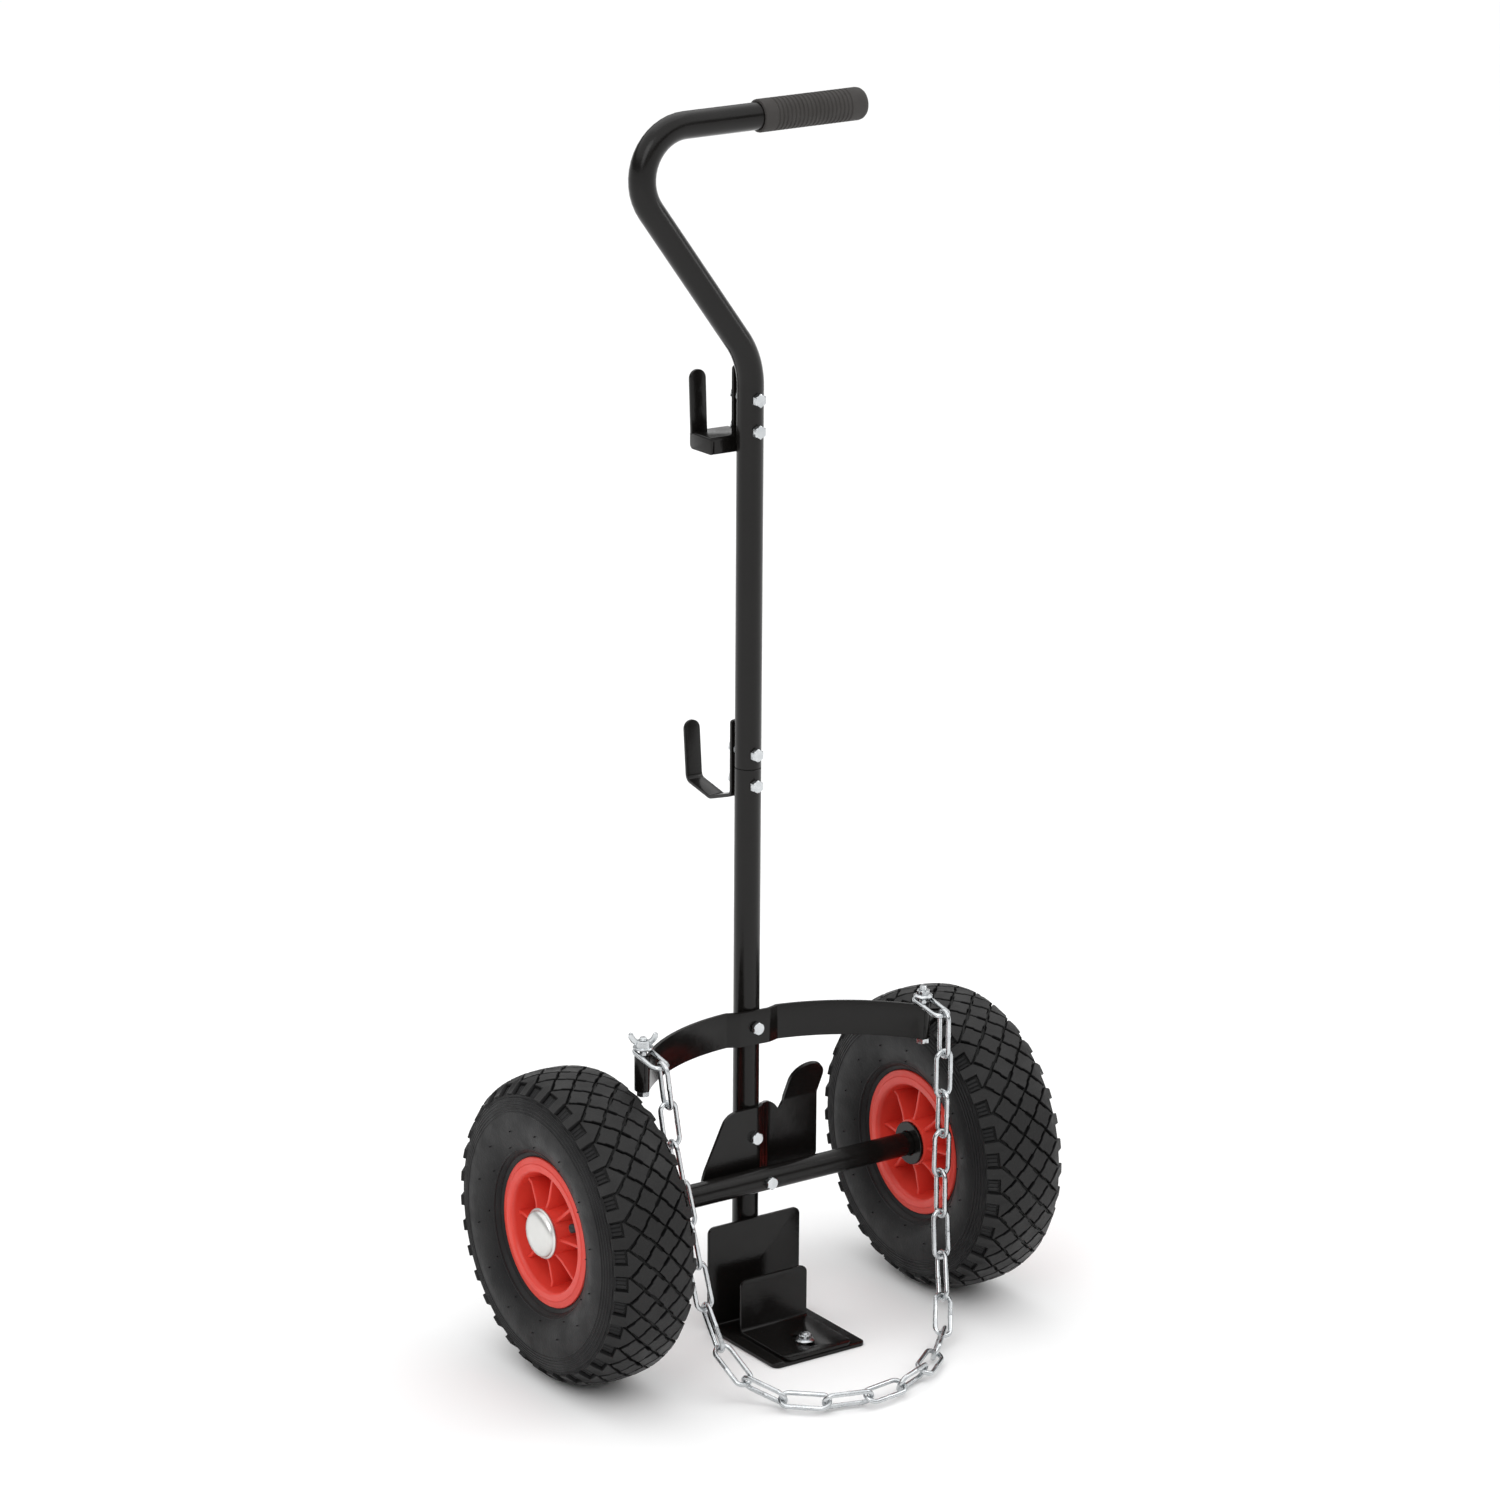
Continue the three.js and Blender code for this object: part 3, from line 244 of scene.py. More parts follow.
def start_group(group, values, output):
    """Gives a node group its sockets, and returns its input, its output and the piece's own coordinates."""
    for name, value in values.items():
        socket = group.interface.new_socket(name=name, in_out="INPUT", socket_type="NodeSocketFloat")
        socket.default_value = value
    group.interface.new_socket(name=output, in_out="OUTPUT", socket_type="NodeSocketFloat")
    return [group.nodes.new(kind) for kind in ("NodeGroupInput", "NodeGroupOutput", "ShaderNodeTexCoord")]


def noise_group():
    """Noise on the piece's own coordinates, spread between two values."""
    group = bpy.data.node_groups.new("uneven_surface", "ShaderNodeTree")
    given, result, place = start_group(group, {"Scale": 60.0, "Detail": 3.0, "Low": 0.0, "High": 1.0}, "Value")
    nodes = group.nodes
    noise = nodes.new("ShaderNodeTexNoise")
    spread = nodes.new("ShaderNodeMapRange")
    spread.inputs["From Min"].default_value = 0.32
    spread.inputs["From Max"].default_value = 0.68
    link(group, place.outputs["Object"], noise.inputs["Vector"])
    link(group, given.outputs["Scale"], noise.inputs["Scale"])
    link(group, given.outputs["Detail"], noise.inputs["Detail"])
    link(group, noise.outputs["Fac"], spread.inputs["Value"])
    link(group, given.outputs["Low"], spread.inputs["To Min"])
    link(group, given.outputs["High"], spread.inputs["To Max"])
    link(group, spread.outputs["Result"], result.inputs["Value"])
    return group


def speck_group():
    """Sparse small specks of dust or dirt, as a mask from 0 to 1."""
    group = bpy.data.node_groups.new("dust_specks", "ShaderNodeTree")
    given, result, place = start_group(group, {"Scale": 300.0, "Size": 0.12}, "Mask")
    nodes = group.nodes
    cells = nodes.new("ShaderNodeTexVoronoi")
    spots = nodes.new("ShaderNodeMath")
    spots.operation = "LESS_THAN"
    link(group, place.outputs["Object"], cells.inputs["Vector"])
    link(group, given.outputs["Scale"], cells.inputs["Scale"])
    link(group, cells.outputs["Distance"], spots.inputs[0])
    link(group, given.outputs["Size"], spots.inputs[1])
    link(group, spots.outputs["Value"], result.inputs["Mask"])
    return group


UNEVEN, SPECKS = noise_group(), speck_group()


class Finish:
    """A Principled material with shortcuts for the shared groups."""

    def __init__(self, name, colour, **constants):
        self.material = bpy.data.materials.new(name)
        self.material.use_nodes = True
        self.tree = self.material.node_tree
        self.shader = self.tree.nodes["Principled BSDF"]
        self.colour = (*colour, 1)
        self.shader.inputs["Base Color"].default_value = self.colour
        for socket, value in constants.items():
            self.shader.inputs[socket.replace("_", " ")].default_value = value

    def shared(self, group, output, **values):
        node = self.tree.nodes.new("ShaderNodeGroup")
        node.node_tree = group
        for socket, value in values.items():
            node.inputs[socket].default_value = value
        return node.outputs[output]

    def uneven(self, scale, low, high, detail=3.0):
        return self.shared(UNEVEN, "Value", Scale=scale, Detail=detail, Low=low, High=high)

    def specks(self, scale, size):
        return self.shared(SPECKS, "Mask", Scale=scale, Size=size)

    def rough(self, value):
        link(self.tree, value, self.shader.inputs["Roughness"])

    def tint(self, mask, colour):
        """Mixes another colour in where the mask is 1."""
        mix = self.tree.nodes.new("ShaderNodeMix")
        mix.data_type = "RGBA"
        before = self.shader.inputs["Base Color"]
        mix.inputs["A"].default_value = self.colour
        if before.links:
            link(self.tree, before.links[0].from_socket, mix.inputs["A"])
        mix.inputs["B"].default_value = (*colour, 1)
        link(self.tree, mask, mix.inputs["Factor"])
        link(self.tree, mix.outputs["Result"], before)

    def bump(self, value, distance, strength=1.0):
        """Raises the surface by a value; bumps that are added later stand on the earlier ones."""
        node = self.tree.nodes.new("ShaderNodeBump")
        node.inputs["Strength"].default_value = strength
        node.inputs["Distance"].default_value = distance
        link(self.tree, value, node.inputs["Height"])
        before = self.shader.inputs["Normal"]
        if before.links:
            link(self.tree, before.links[0].from_socket, node.inputs["Normal"])
        link(self.tree, node.outputs["Normal"], before)

    def mask(self, attribute, low, high):
        """A mesh attribute as a mask that rises from 0 at low to 1 at high."""
        source = self.tree.nodes.new("ShaderNodeAttribute")
        source.attribute_name = attribute
        spread = self.tree.nodes.new("ShaderNodeMapRange")
        spread.inputs["From Min"].default_value = low
        spread.inputs["From Max"].default_value = high
        link(self.tree, source.outputs["Fac"], spread.inputs["Value"])
        return spread.outputs["Result"]


print("shared groups:", UNEVEN.name, SPECKS.name)

# %% [markdown]
# ## The finishes
# - **Black powder paint** is nearly black and glossy, with the slight orange peel of baked powder and a
#   few specks of dust in it.
# - **Bright zinc** on bolts and chain is a mirror that is a little cloudy, blueish, with duller patches.
# - **Red plastic** of the rims is satin, and its colour drifts a little from place to place.
# - **Tyre rubber** is dull. Its grooves are darkened almost to black as painted shade, and the tops of the proud
#   tread blocks are lightened, partly as dust and partly as a painted sheen.
# - **Grip rubber** is dark grey and matt. **The hub cap** is satin metal. **The valve** is black rubber.

# %% Black paint
black_finish = Finish("black_powder_paint", (0.0055, 0.005, 0.0046), Metallic=0.0, Specular_IOR_Level=0.26)
black_finish.rough(black_finish.uneven(45, 0.16, 0.25))
black_finish.tint(black_finish.specks(420, 0.05), (0.05, 0.048, 0.045))
black_finish.tint(black_finish.uneven(14, 0.0, 0.35), (0.0085, 0.0075, 0.007))
black_finish.bump(black_finish.uneven(620, 0.0, 1.0, 2.0), 0.00006, 0.35)
black_finish.bump(black_finish.uneven(130, 0.0, 1.0, 1.0), 0.00012, 0.25)
BLACK = black_finish.material

# %% Zinc
zinc_finish = Finish("bright_zinc", (0.63, 0.65, 0.66), Metallic=1.0)
zinc_finish.rough(zinc_finish.uneven(90, 0.16, 0.34, 4.0))
zinc_finish.tint(zinc_finish.uneven(150, 0.0, 0.55, 4.0), (0.44, 0.46, 0.48))
zinc_finish.tint(zinc_finish.specks(700, 0.14), (0.36, 0.37, 0.38))
zinc_finish.bump(zinc_finish.uneven(1300, 0.0, 1.0, 3.0), 0.00004, 0.5)
ZINC = zinc_finish.material

# %% Red plastic
red_finish = Finish("red_moulded_plastic", (0.72, 0.05, 0.032), Specular_IOR_Level=0.45)
red_finish.rough(red_finish.uneven(70, 0.34, 0.48))
red_finish.tint(red_finish.uneven(22, 0.0, 0.5), (0.62, 0.036, 0.024))
red_finish.tint(red_finish.specks(260, 0.06), (0.42, 0.025, 0.02))
red_finish.bump(red_finish.uneven(900, 0.0, 1.0, 2.0), 0.00005, 0.4)
RED = red_finish.material

# %% Tyre rubber
TREAD_RELIEF = "relief"
tyre_finish = Finish("tyre_rubber", (0.008, 0.008, 0.0086), Specular_IOR_Level=0.22)
tyre_finish.rough(tyre_finish.uneven(55, 0.4, 0.58))
tyre_finish.tint(tyre_finish.uneven(26, 0.0, 0.6), (0.014, 0.0135, 0.0135))
# block tops lightened by the relief mask: partly dust, partly a painted sheen
tyre_finish.tint(tyre_finish.mask(TREAD_RELIEF, 0.75, 1.0), (0.015, 0.0147, 0.0147))
# groove floors darkened by the relief mask: painted shade in the recesses
tyre_finish.tint(tyre_finish.mask(TREAD_RELIEF, -0.45, -0.9), (0.003, 0.003, 0.003))
tyre_finish.tint(tyre_finish.specks(330, 0.09), (0.03, 0.03, 0.03))
tyre_finish.bump(tyre_finish.uneven(480, 0.0, 1.0, 4.0), 0.00016, 0.45)
TYRE = tyre_finish.material

# %% Grip rubber, cap metal and valve
grip_finish = Finish("grip_rubber", (0.038, 0.035, 0.033), Specular_IOR_Level=0.3)
grip_finish.rough(grip_finish.uneven(80, 0.6, 0.78))
grip_finish.tint(grip_finish.uneven(35, 0.0, 0.6), (0.05, 0.046, 0.044))
grip_finish.bump(grip_finish.uneven(1100, 0.0, 1.0, 3.0), 0.0001, 0.5)
GRIP = grip_finish.material

cap_finish = Finish("satin_cap_metal", (0.72, 0.72, 0.7), Metallic=0.85)
cap_finish.rough(cap_finish.uneven(60, 0.3, 0.42))
cap_finish.tint(cap_finish.uneven(40, 0.0, 0.5), (0.62, 0.62, 0.6))
cap_finish.bump(cap_finish.uneven(800, 0.0, 1.0, 2.0), 0.00003, 0.4)
CAP = cap_finish.material

valve_finish = Finish("valve_rubber", (0.016, 0.016, 0.017), Specular_IOR_Level=0.4)
valve_finish.rough(valve_finish.uneven(90, 0.35, 0.55))
valve_finish.bump(valve_finish.uneven(900, 0.0, 1.0, 2.0), 0.00006, 0.4)
VALVE = valve_finish.material
print("finishes:", [m.name for m in bpy.data.materials])


# %% [markdown]
# ## Turned pieces
# Rims, caps, washers, the grip and screw threads are all round about one line. Each starts as a half
# section of a few points, which a full spin closes into a solid, as on a lathe.

# %% A lathe
def turned(profile, steps=64, closed=True):
    """Spins corners of (radius, height) about Z. A profile that leaves and meets the axis stays open."""
    bm = bmesh.new()
    verts = [bm.verts.new((radius, 0, height)) for radius, height in profile]
    edges = [bm.edges.new(pair) for pair in zip(verts, verts[1:])]
    if closed:
        edges.append(bm.edges.new((verts[-1], verts[0])))
    about = {"cent": (0, 0, 0), "axis": Z_AXIS, "dvec": (0, 0, 0), "angle": 2 * pi, "use_merge": True}
    bmesh.ops.spin(bm, geom=verts + edges, steps=steps, use_normal_flip=False, use_duplicate=False, **about)
    bmesh.ops.remove_doubles(bm, verts=bm.verts, dist=0.002)
    bmesh.ops.recalc_face_normals(bm, faces=bm.faces)
    return bm


def soften(bm, width, segments=2, above=30):
    """Bevels every edge that turns by more than an angle."""
    edges = [e for e in bm.edges if len(e.link_faces) == 2 and e.calc_face_angle(0) > radians(above)]
    bevel(bm, edges, width, segments, clamp=True)


print("a washer has", len(turned([(3, 0), (6, 0), (6, 1), (3, 1)]).faces), "faces")

# %% [markdown]
# ## Where the wheels stand
# A wheel is drawn lying flat with its outer side up, then tipped onto the axle's end. Both wheels use the
# same drawing, turned by different amounts because wheels never stop in the same position.

# %% Wheel places
wheel_places = {}
for side in ("left", "right"):
    centre = middle_mm(f"{side}_tyre")
    outward = 1 if centre.x > 0 else -1
    wheel_places[side] = Matrix.Translation(centre) @ Matrix.Rotation(outward * pi / 2, 4, "Y")
tyre_low, tyre_high = box_mm("left_tyre")
TYRE_RADIUS = (tyre_high.z - tyre_low.z) / 2
TYRE_HALF = (tyre_high.x - tyre_low.x) / 2
rim_low, rim_high = box_mm("left_rim")
LIP_RADIUS = (rim_high.z - rim_low.z) / 2
RIM_HALF = (rim_high.x - rim_low.x) / 2
print(f"tyre {2 * TYRE_RADIUS:.0f} x {2 * TYRE_HALF:.0f} mm, rim lip {2 * LIP_RADIUS:.1f} mm")

# %% [markdown]
# ## The tyre
# The tread is the busiest surface of the truck: four rows of diamond blocks with stepped grooves, then a
# row of shoulder lugs and hollows, then fine rings on the side wall. Modelled on the round it would be
# hard to keep regular. So the tyre is drawn flat, like the pattern in its mould: X runs round the tyre, Y
# runs from the middle of the tread down the side wall, and Z is height above the casing. One pitch of the
# pattern is made with insets, repeated round the tyre, and then wrapped onto the casing's section.

# %% The casing's section, from the crown's middle round the bead and back inside
BLOCK_HEIGHT = 3.3
crown = TYRE_RADIUS - BLOCK_HEIGHT - 0.1
OUTER_SECTION = [
    (0, crown), (9, crown - 0.3), (18, crown - 1.3), (27, crown - 4.0), (34.5, crown - 9.2),
    (39.3, crown - 17.5), (41.7, crown - 29), (41.4, crown - 41), (38.0, crown - 52.5),
    (32.3, crown - 60), (28.4, LIP_RADIUS + 0.9), (26.6, LIP_RADIUS - 2.5), (26.4, LIP_RADIUS - 5.6),
]
INNER_SECTION = [
    (20.5, LIP_RADIUS - 5.6), (24.5, LIP_RADIUS + 2), (33.5, crown - 52), (37.2, crown - 41),
    (37.4, crown - 29), (34.0, crown - 18), (27.0, crown - 10.5), (14.0, crown - 6.4), (0, crown - 5.6),
]


def smooth_line(points, steps=10):
    """A Catmull-Rom line through the points."""
    points = [Vector(p) for p in points]
    ends = [2 * points[0] - points[1], *points, 2 * points[-1] - points[-2]]
    line = []
    for before, start, end, after in zip(ends, ends[1:], ends[2:], ends[3:]):
        for k in range(steps):
            t = k / steps
            line.append(
                0.5
                * (
                    2 * start
                    + (end - before) * t
                    + (2 * before - 5 * start + 4 * end - after) * t * t
                    + (3 * start - before - 3 * end + after) * t**3
                )
            )
    line.append(points[-1])
    return line


outer_line = smooth_line(OUTER_SECTION)
section_line = outer_line + smooth_line(INNER_SECTION)
section_points = np.array([tuple(p) for p in section_line])
section_steps = np.hypot(*np.diff(section_points, axis=0).T)
section_reach = np.concatenate([[0], np.cumsum(section_steps)])
bead_reach = section_reach[len(outer_line) - 1]


SLOPE_REACH = 0.6  # how far to either side the section's slope is measured


def on_section(reach):
    """Half-width, radius and outward normal at a distance along the section, on either side."""
    side = -1 if reach < 0 else 1
    along = abs(reach)
    ahead, behind = min(along + SLOPE_REACH, section_reach[-1]), max(along - SLOPE_REACH, 0)
    here, fore, aft = (
        Vector([np.interp(place, section_reach, section_points[:, k]) for k in (0, 1)])
        for place in (along, ahead, behind)
    )
    run = (fore - aft).normalized()
    return here.x * side, here.y, -run.y * side, run.x


def reach_at(radius):
    """How far down the side wall a radius lies, outside the bulge's inner half."""
    outer = section_points[: len(outer_line)]
    below = int(np.argmax(outer[:, 1] < radius))
    share = (outer[below - 1, 1] - radius) / (outer[below - 1, 1] - outer[below, 1])
    return section_reach[below - 1] + share * (section_reach[below] - section_reach[below - 1])


print(f"section runs {bead_reach:.0f} mm to the bead and {section_reach[-1]:.0f} mm in all")

# %% One diamond block, drawn flat
PITCHES = 34
PITCH = 24.0  # one diamond, measured round the crown
HALF_ROW = 11.3  # half a diamond, measured across the tread
GROOVE = 0.85  # half the groove's mean width
STEP = 0.45  # how far the groove steps sideways at each block's middle
FOOT = 41.0  # where the shoulder lugs end
FLANK_FROM = 4.5  # a corner further out than this lies on a flank
HOLLOW_DROP = 2.6  # from the outer diamonds' corners down to the hollows


def step_groove(verts, centre, flank):
    """Moves a block's outline so that the groove round it steps at the middle of every flank."""
    for vert in verts:
        x, y = vert.co.x - centre[0], vert.co.y - centre[1]
        a, b = (x + y) / sqrt(2), (y - x) / sqrt(2)
        turn = 1 if a * b > 0 else -1
        if abs(a) > flank:
            a -= turn * STEP if a > 0 else -turn * STEP
        if abs(b) > flank:
            b += turn * STEP if b > 0 else -turn * STEP
        vert.co.x, vert.co.y = centre[0] + (a - b) / sqrt(2), centre[1] + (a + b) / sqrt(2)


def split_flanks(bm, edges):
    """Cuts each slanted flank beside its middle, where the groove steps."""
    for edge in edges:
        middle = (edge.verts[0].co + edge.verts[1].co) / 2
        divided = bmesh.ops.subdivide_edges(bm, edges=[edge], cuts=2)
        for vert in [v for v in divided["geom_inner"] if isinstance(v, bmesh.types.BMVert)]:
            vert.co = middle + (vert.co - middle) * 0.25


def raise_block(bm, face, height):
    """Gives a block leaning walls, a small chamfer and a top."""
    bmesh.ops.inset_individual(bm, faces=[face], thickness=0.3, depth=height - 0.4, use_even_offset=True)
    bmesh.ops.inset_individual(bm, faces=[face], thickness=0.4, depth=0.4, use_even_offset=True)


def diamond_block():
    bm = bmesh.new()
    bmesh.ops.create_circle(bm, cap_ends=True, segments=4, radius=1)
    bm.transform(Matrix.Diagonal((PITCH / 2, HALF_ROW, 1, 1)))
    split_flanks(bm, list(bm.edges))
    face = bm.faces[:][0]
    bmesh.ops.inset_individual(bm, faces=[face], thickness=GROOVE, depth=0, use_even_offset=True)
    step_groove(face.verts, (0, 0), FLANK_FROM)
    raise_block(bm, face, BLOCK_HEIGHT)
    return bm


print("a diamond block has", len(diamond_block().faces), "faces")


# %% A shoulder lug with the hollow beside it
def shoulder():
    """The pattern between the outer row of diamonds and the foot of the lugs, for one pitch."""
    bm = bmesh.new()
    half, corner, apex = PITCH / 2, 2.5 * HALF_ROW, 1.5 * HALF_ROW
    hollow_top = corner + HOLLOW_DROP
    outline = [
        (-half, corner), (0, apex), (half, corner), (half, hollow_top), (2 * half / 3, hollow_top),
        (half / 3, hollow_top), (0, hollow_top), (0, FOOT), (-half / 3, FOOT), (-2 * half / 3, FOOT),
        (-half, FOOT), (-half, hollow_top),
    ]
    verts = [bm.verts.new((x, y, 0)) for x, y in outline]
    lug = bm.faces.new(verts)
    flanks = [e for e in bm.edges if set(e.verts) in ({verts[0], verts[1]}, {verts[1], verts[2]})]
    strips = []
    for k in range(3):
        left, right = half * k / 3, half * (k + 1) / 3
        corners = [(left, hollow_top), (right, hollow_top), (right, FOOT), (left, FOOT)]
        strips.append(bm.faces.new([bm.verts.new((x, y, 0)) for x, y in corners]))
    split_flanks(bm, flanks)
    bmesh.ops.recalc_face_normals(bm, faces=bm.faces)
    for face in bm.faces:
        if face.normal.z < 0:
            face.normal_flip()
    bmesh.ops.inset_individual(bm, faces=[lug], thickness=GROOVE * 0.9, depth=0, use_even_offset=True)
    raise_block(bm, lug, BLOCK_HEIGHT)
    bmesh.ops.inset_individual(bm, faces=strips, thickness=1.1, depth=0.5, use_even_offset=True)
    return bm


print("a shoulder has", len(shoulder().faces), "faces")

# %% The side wall's rows, as radius and height above the casing
RIB_COUNT, RIB_TOP, RIB_PITCH = 5, 113.0, 2.7
side_rows = [(115.2, 0.9), (114.6, 0.9), (114.2, 0.0)]
for k in range(RIB_COUNT):
    top = RIB_TOP - k * RIB_PITCH
    side_rows += [(top, 0.0), (top - 0.5, 0.6), (top - 1.0, 0.6), (top - 1.5, 0.0)]
side_rows += [(r, 0.0) for r in (97, 91, 84, 78, 73.5)]
side_rows += [(71.0, 0.0), (70.6, 0.55), (69.8, 0.55), (69.4, 0.0), (66.5, 0.0), (65.9, -0.5), (65.2, 0.0)]
INNER_ROWS = 9


# %% One pitch of the whole tyre, drawn flat
def half_pitch():
    """Everything on one side of the tread's middle line, for one pitch."""
    bm = bmesh.new()
    join(bm, diamond_block(), Matrix.Translation((0, HALF_ROW / 2, 0)))
    join(bm, diamond_block(), Matrix.Translation((PITCH / 2, 1.5 * HALF_ROW, 0)))
    join(bm, shoulder())
    bmesh.ops.remove_doubles(bm, verts=bm.verts, dist=0.01)
    foot = [e for e in bm.edges if all(abs(v.co.y - FOOT) < 0.01 for v in e.verts)]
    reaches = [(reach_at(radius), height) for radius, height in side_rows]
    reaches += [(bead_reach, 0.0)]
    inner = section_reach[-1] - bead_reach
    reaches += [(bead_reach + inner * k / INNER_ROWS, 0.0) for k in range(1, INNER_ROWS + 1)]
    for reach, height in reaches:
        row = bmesh.ops.extrude_edge_only(bm, edges=foot)
        for vert in made(row):
            vert.co.y, vert.co.z = reach, height
        foot = [e for e in made(row, bmesh.types.BMEdge) if e.verts[0].co.y == e.verts[1].co.y]
    return bm


half = half_pitch()
print("half a pitch has", len(half.faces), "faces")
half.free()

# %% Repeat, wrap and finish the tyre
def tyre_mesh():
    flat = bmesh.new()
    join(flat, half_pitch())
    # the rows interlock, so the other side stands half a pitch further round
    join(flat, half_pitch(), Matrix.Translation((PITCH / 2, 0, 0)) @ Matrix.Diagonal((1, -1, 1, 1)))
    one = bpy.data.meshes.new("pitch")
    flat.to_mesh(one)
    flat.free()
    bm = bmesh.new()
    for k in range(PITCHES):
        fresh = len(bm.verts)
        bm.from_mesh(one)
        bm.verts.ensure_lookup_table()
        bmesh.ops.translate(bm, verts=bm.verts[fresh:], vec=(PITCH * k, 0, 0))
    bpy.data.meshes.remove(one)
    relief = bm.verts.layers.float.new(TREAD_RELIEF)
    for vert in bm.verts:
        turn = 2 * pi * vert.co.x / (PITCH * PITCHES)
        across, radius, normal_across, normal_out = on_section(vert.co.y)
        lift = vert.co.z
        pattern = abs(vert.co.y) < FOOT + 0.5
        vert[relief] = (lift / BLOCK_HEIGHT if lift > 0 else -1.0) if pattern else 0.1 * lift
        radius += normal_out * lift
        vert.co = (radius * cos(turn), radius * sin(turn), across + normal_across * lift)
    bmesh.ops.remove_doubles(bm, verts=bm.verts, dist=0.02)
    return bm


def add_spews(bm, radius, count, start):
    """Short stubs of rubber that the mould's vents leave on the side wall."""
    relief = bm.verts.layers.float[TREAD_RELIEF]
    for side in (-1, 1):
        across, out, normal_across, normal_out = on_section(side * reach_at(radius))
        for k in range(count):
            turn = Matrix.Rotation(radians(start) + 2 * pi * k / count, 4, "Z")
            lean = Matrix.Rotation(atan2(normal_out, normal_across), 4, "Y")
            stub = bmesh.ops.create_cone(
                bm,
                cap_ends=True,
                segments=8,
                radius1=0.8,
                radius2=0.45,
                depth=2.4,
                matrix=turn @ Matrix.Translation((out, 0, across)) @ lean,
            )
            for vert in stub["verts"]:
                vert[relief] = 0.0


SPEW_ROWS = ((86, 14, 0), (74, 12, 9))  # radius, number and turn in degrees
for side, start in (("left", 12), ("right", 40)):
    bm = tyre_mesh()
    for radius, count, turn in SPEW_ROWS:
        add_spews(bm, radius, count, start + turn)
    place = wheel_places[side] @ Matrix.Rotation(radians(start), 4, "Z")
    piece(f"{side}_tyre_treaded", bm, TYRE, [f"{side}_tyre"], place, sharp=35)

# %% [markdown]
# ## Rim, valve, hub cap and stop washer
# The rim is one plastic moulding: a lip that holds the tyre's bead, a dished cone down to a thin web, and a
# hub in the middle with eight thin ribs on either face. The section is turned like a lathe part, and each
# rib is a thin fin set into it. The pressed cap covers the axle's end outside, and a washer holds the wheel
# off the axle's stop inside. The valve's stem leans out of the dish between two ribs.

# %% Rim section
WEB_HALF, WELL_INNER, HUB_RADIUS, BORE_RADIUS = 2.5, 49.6, 20.0, 10.4
HUB_FACE = 32.0
rim_upper = [
    (BORE_RADIUS, HUB_FACE - 0.8), (BORE_RADIUS + 0.8, HUB_FACE), (HUB_RADIUS - 1.2, HUB_FACE),
    (HUB_RADIUS - 0.4, HUB_FACE - 0.4), (HUB_RADIUS, HUB_FACE - 1.4),
    (HUB_RADIUS + 0.9, WEB_HALF + 3.0), (HUB_RADIUS + 1.8, WEB_HALF + 1.0),
    (HUB_RADIUS + 3.6, WEB_HALF), (WELL_INNER - 6.2, WEB_HALF), (WELL_INNER - 3.8, WEB_HALF + 0.8),
    (WELL_INNER - 2.6, WEB_HALF + 2.6), (WELL_INNER - 0.8, RIM_HALF - 4.4),
    (WELL_INNER + 0.2, RIM_HALF - 1.6), (WELL_INNER + 1.4, RIM_HALF - 0.4),
    (WELL_INNER + 2.6, RIM_HALF), (LIP_RADIUS - 6.0, RIM_HALF), (LIP_RADIUS - 5.4, RIM_HALF - 0.5),
    (LIP_RADIUS - 4.8, RIM_HALF - 0.7), (LIP_RADIUS - 1.6, RIM_HALF - 0.8),
    (LIP_RADIUS - 0.5, RIM_HALF - 1.2), (LIP_RADIUS, RIM_HALF - 2.2),
    (LIP_RADIUS - 0.2, RIM_HALF - 4.2), (LIP_RADIUS - 1.0, RIM_HALF - 5.0),
    (LIP_RADIUS - 6.8, RIM_HALF - 5.6), (LIP_RADIUS - 8.6, RIM_HALF - 8.5), (WELL_INNER + 3.2, 12.0),
]
rim_section = rim_upper + [(r, -h) for r, h in reversed(rim_upper)]
RIBS, RIB_WIDTH = 8, 3.0


def rim_rib(turn, face):
    """One fin from the hub down to the dish, with its free edges rounded."""
    bm = bmesh.new()
    outline = [
        (HUB_RADIUS - 3, WEB_HALF - 1.5),
        (WELL_INNER - 0.8, WEB_HALF - 1.5),
        (WELL_INNER + 1.2, RIM_HALF - 6.5),
        (WELL_INNER - 5, RIM_HALF - 8.2),
        (HUB_RADIUS + 8, HUB_FACE - 5.2),
        (HUB_RADIUS - 3, HUB_FACE - 1.2),
    ]
    fin = bm.faces.new([bm.verts.new((r, -RIB_WIDTH / 2, h * face)) for r, h in outline])
    side = bmesh.ops.extrude_face_region(bm, geom=[fin])
    bmesh.ops.translate(bm, verts=made(side), vec=(0, RIB_WIDTH, 0))
    bmesh.ops.recalc_face_normals(bm, faces=bm.faces)
    open_edges = [
        e
        for e in bm.edges
        if all(v.co.z * face > WEB_HALF + 1 for v in e.verts) and abs(e.verts[0].co.y - e.verts[1].co.y) < 0.1
    ]
    bevel(bm, open_edges, 0.9, 2)
    bm.transform(Matrix.Rotation(turn, 4, "Z"))
    return bm


valve_turns = {}
for side in ("left", "right"):
    valve_at = wheel_places[side].inverted() @ middle_mm(f"{side}_valve")
    valve_turn = valve_turns[side] = atan2(valve_at.y, valve_at.x)
    bm = turned(rim_section, 96)
    for k in range(RIBS):
        for face in (-1, 1):
            join(bm, rim_rib(valve_turn + (k + 0.5) * 2 * pi / RIBS, face))
    piece(f"{side}_rim_moulded", bm, RED, [f"{side}_rim"], wheel_places[side], outward=False)
    print(side, "valve at", [round(c, 1) for c in valve_at], "turn", round(degrees(valve_turn)))

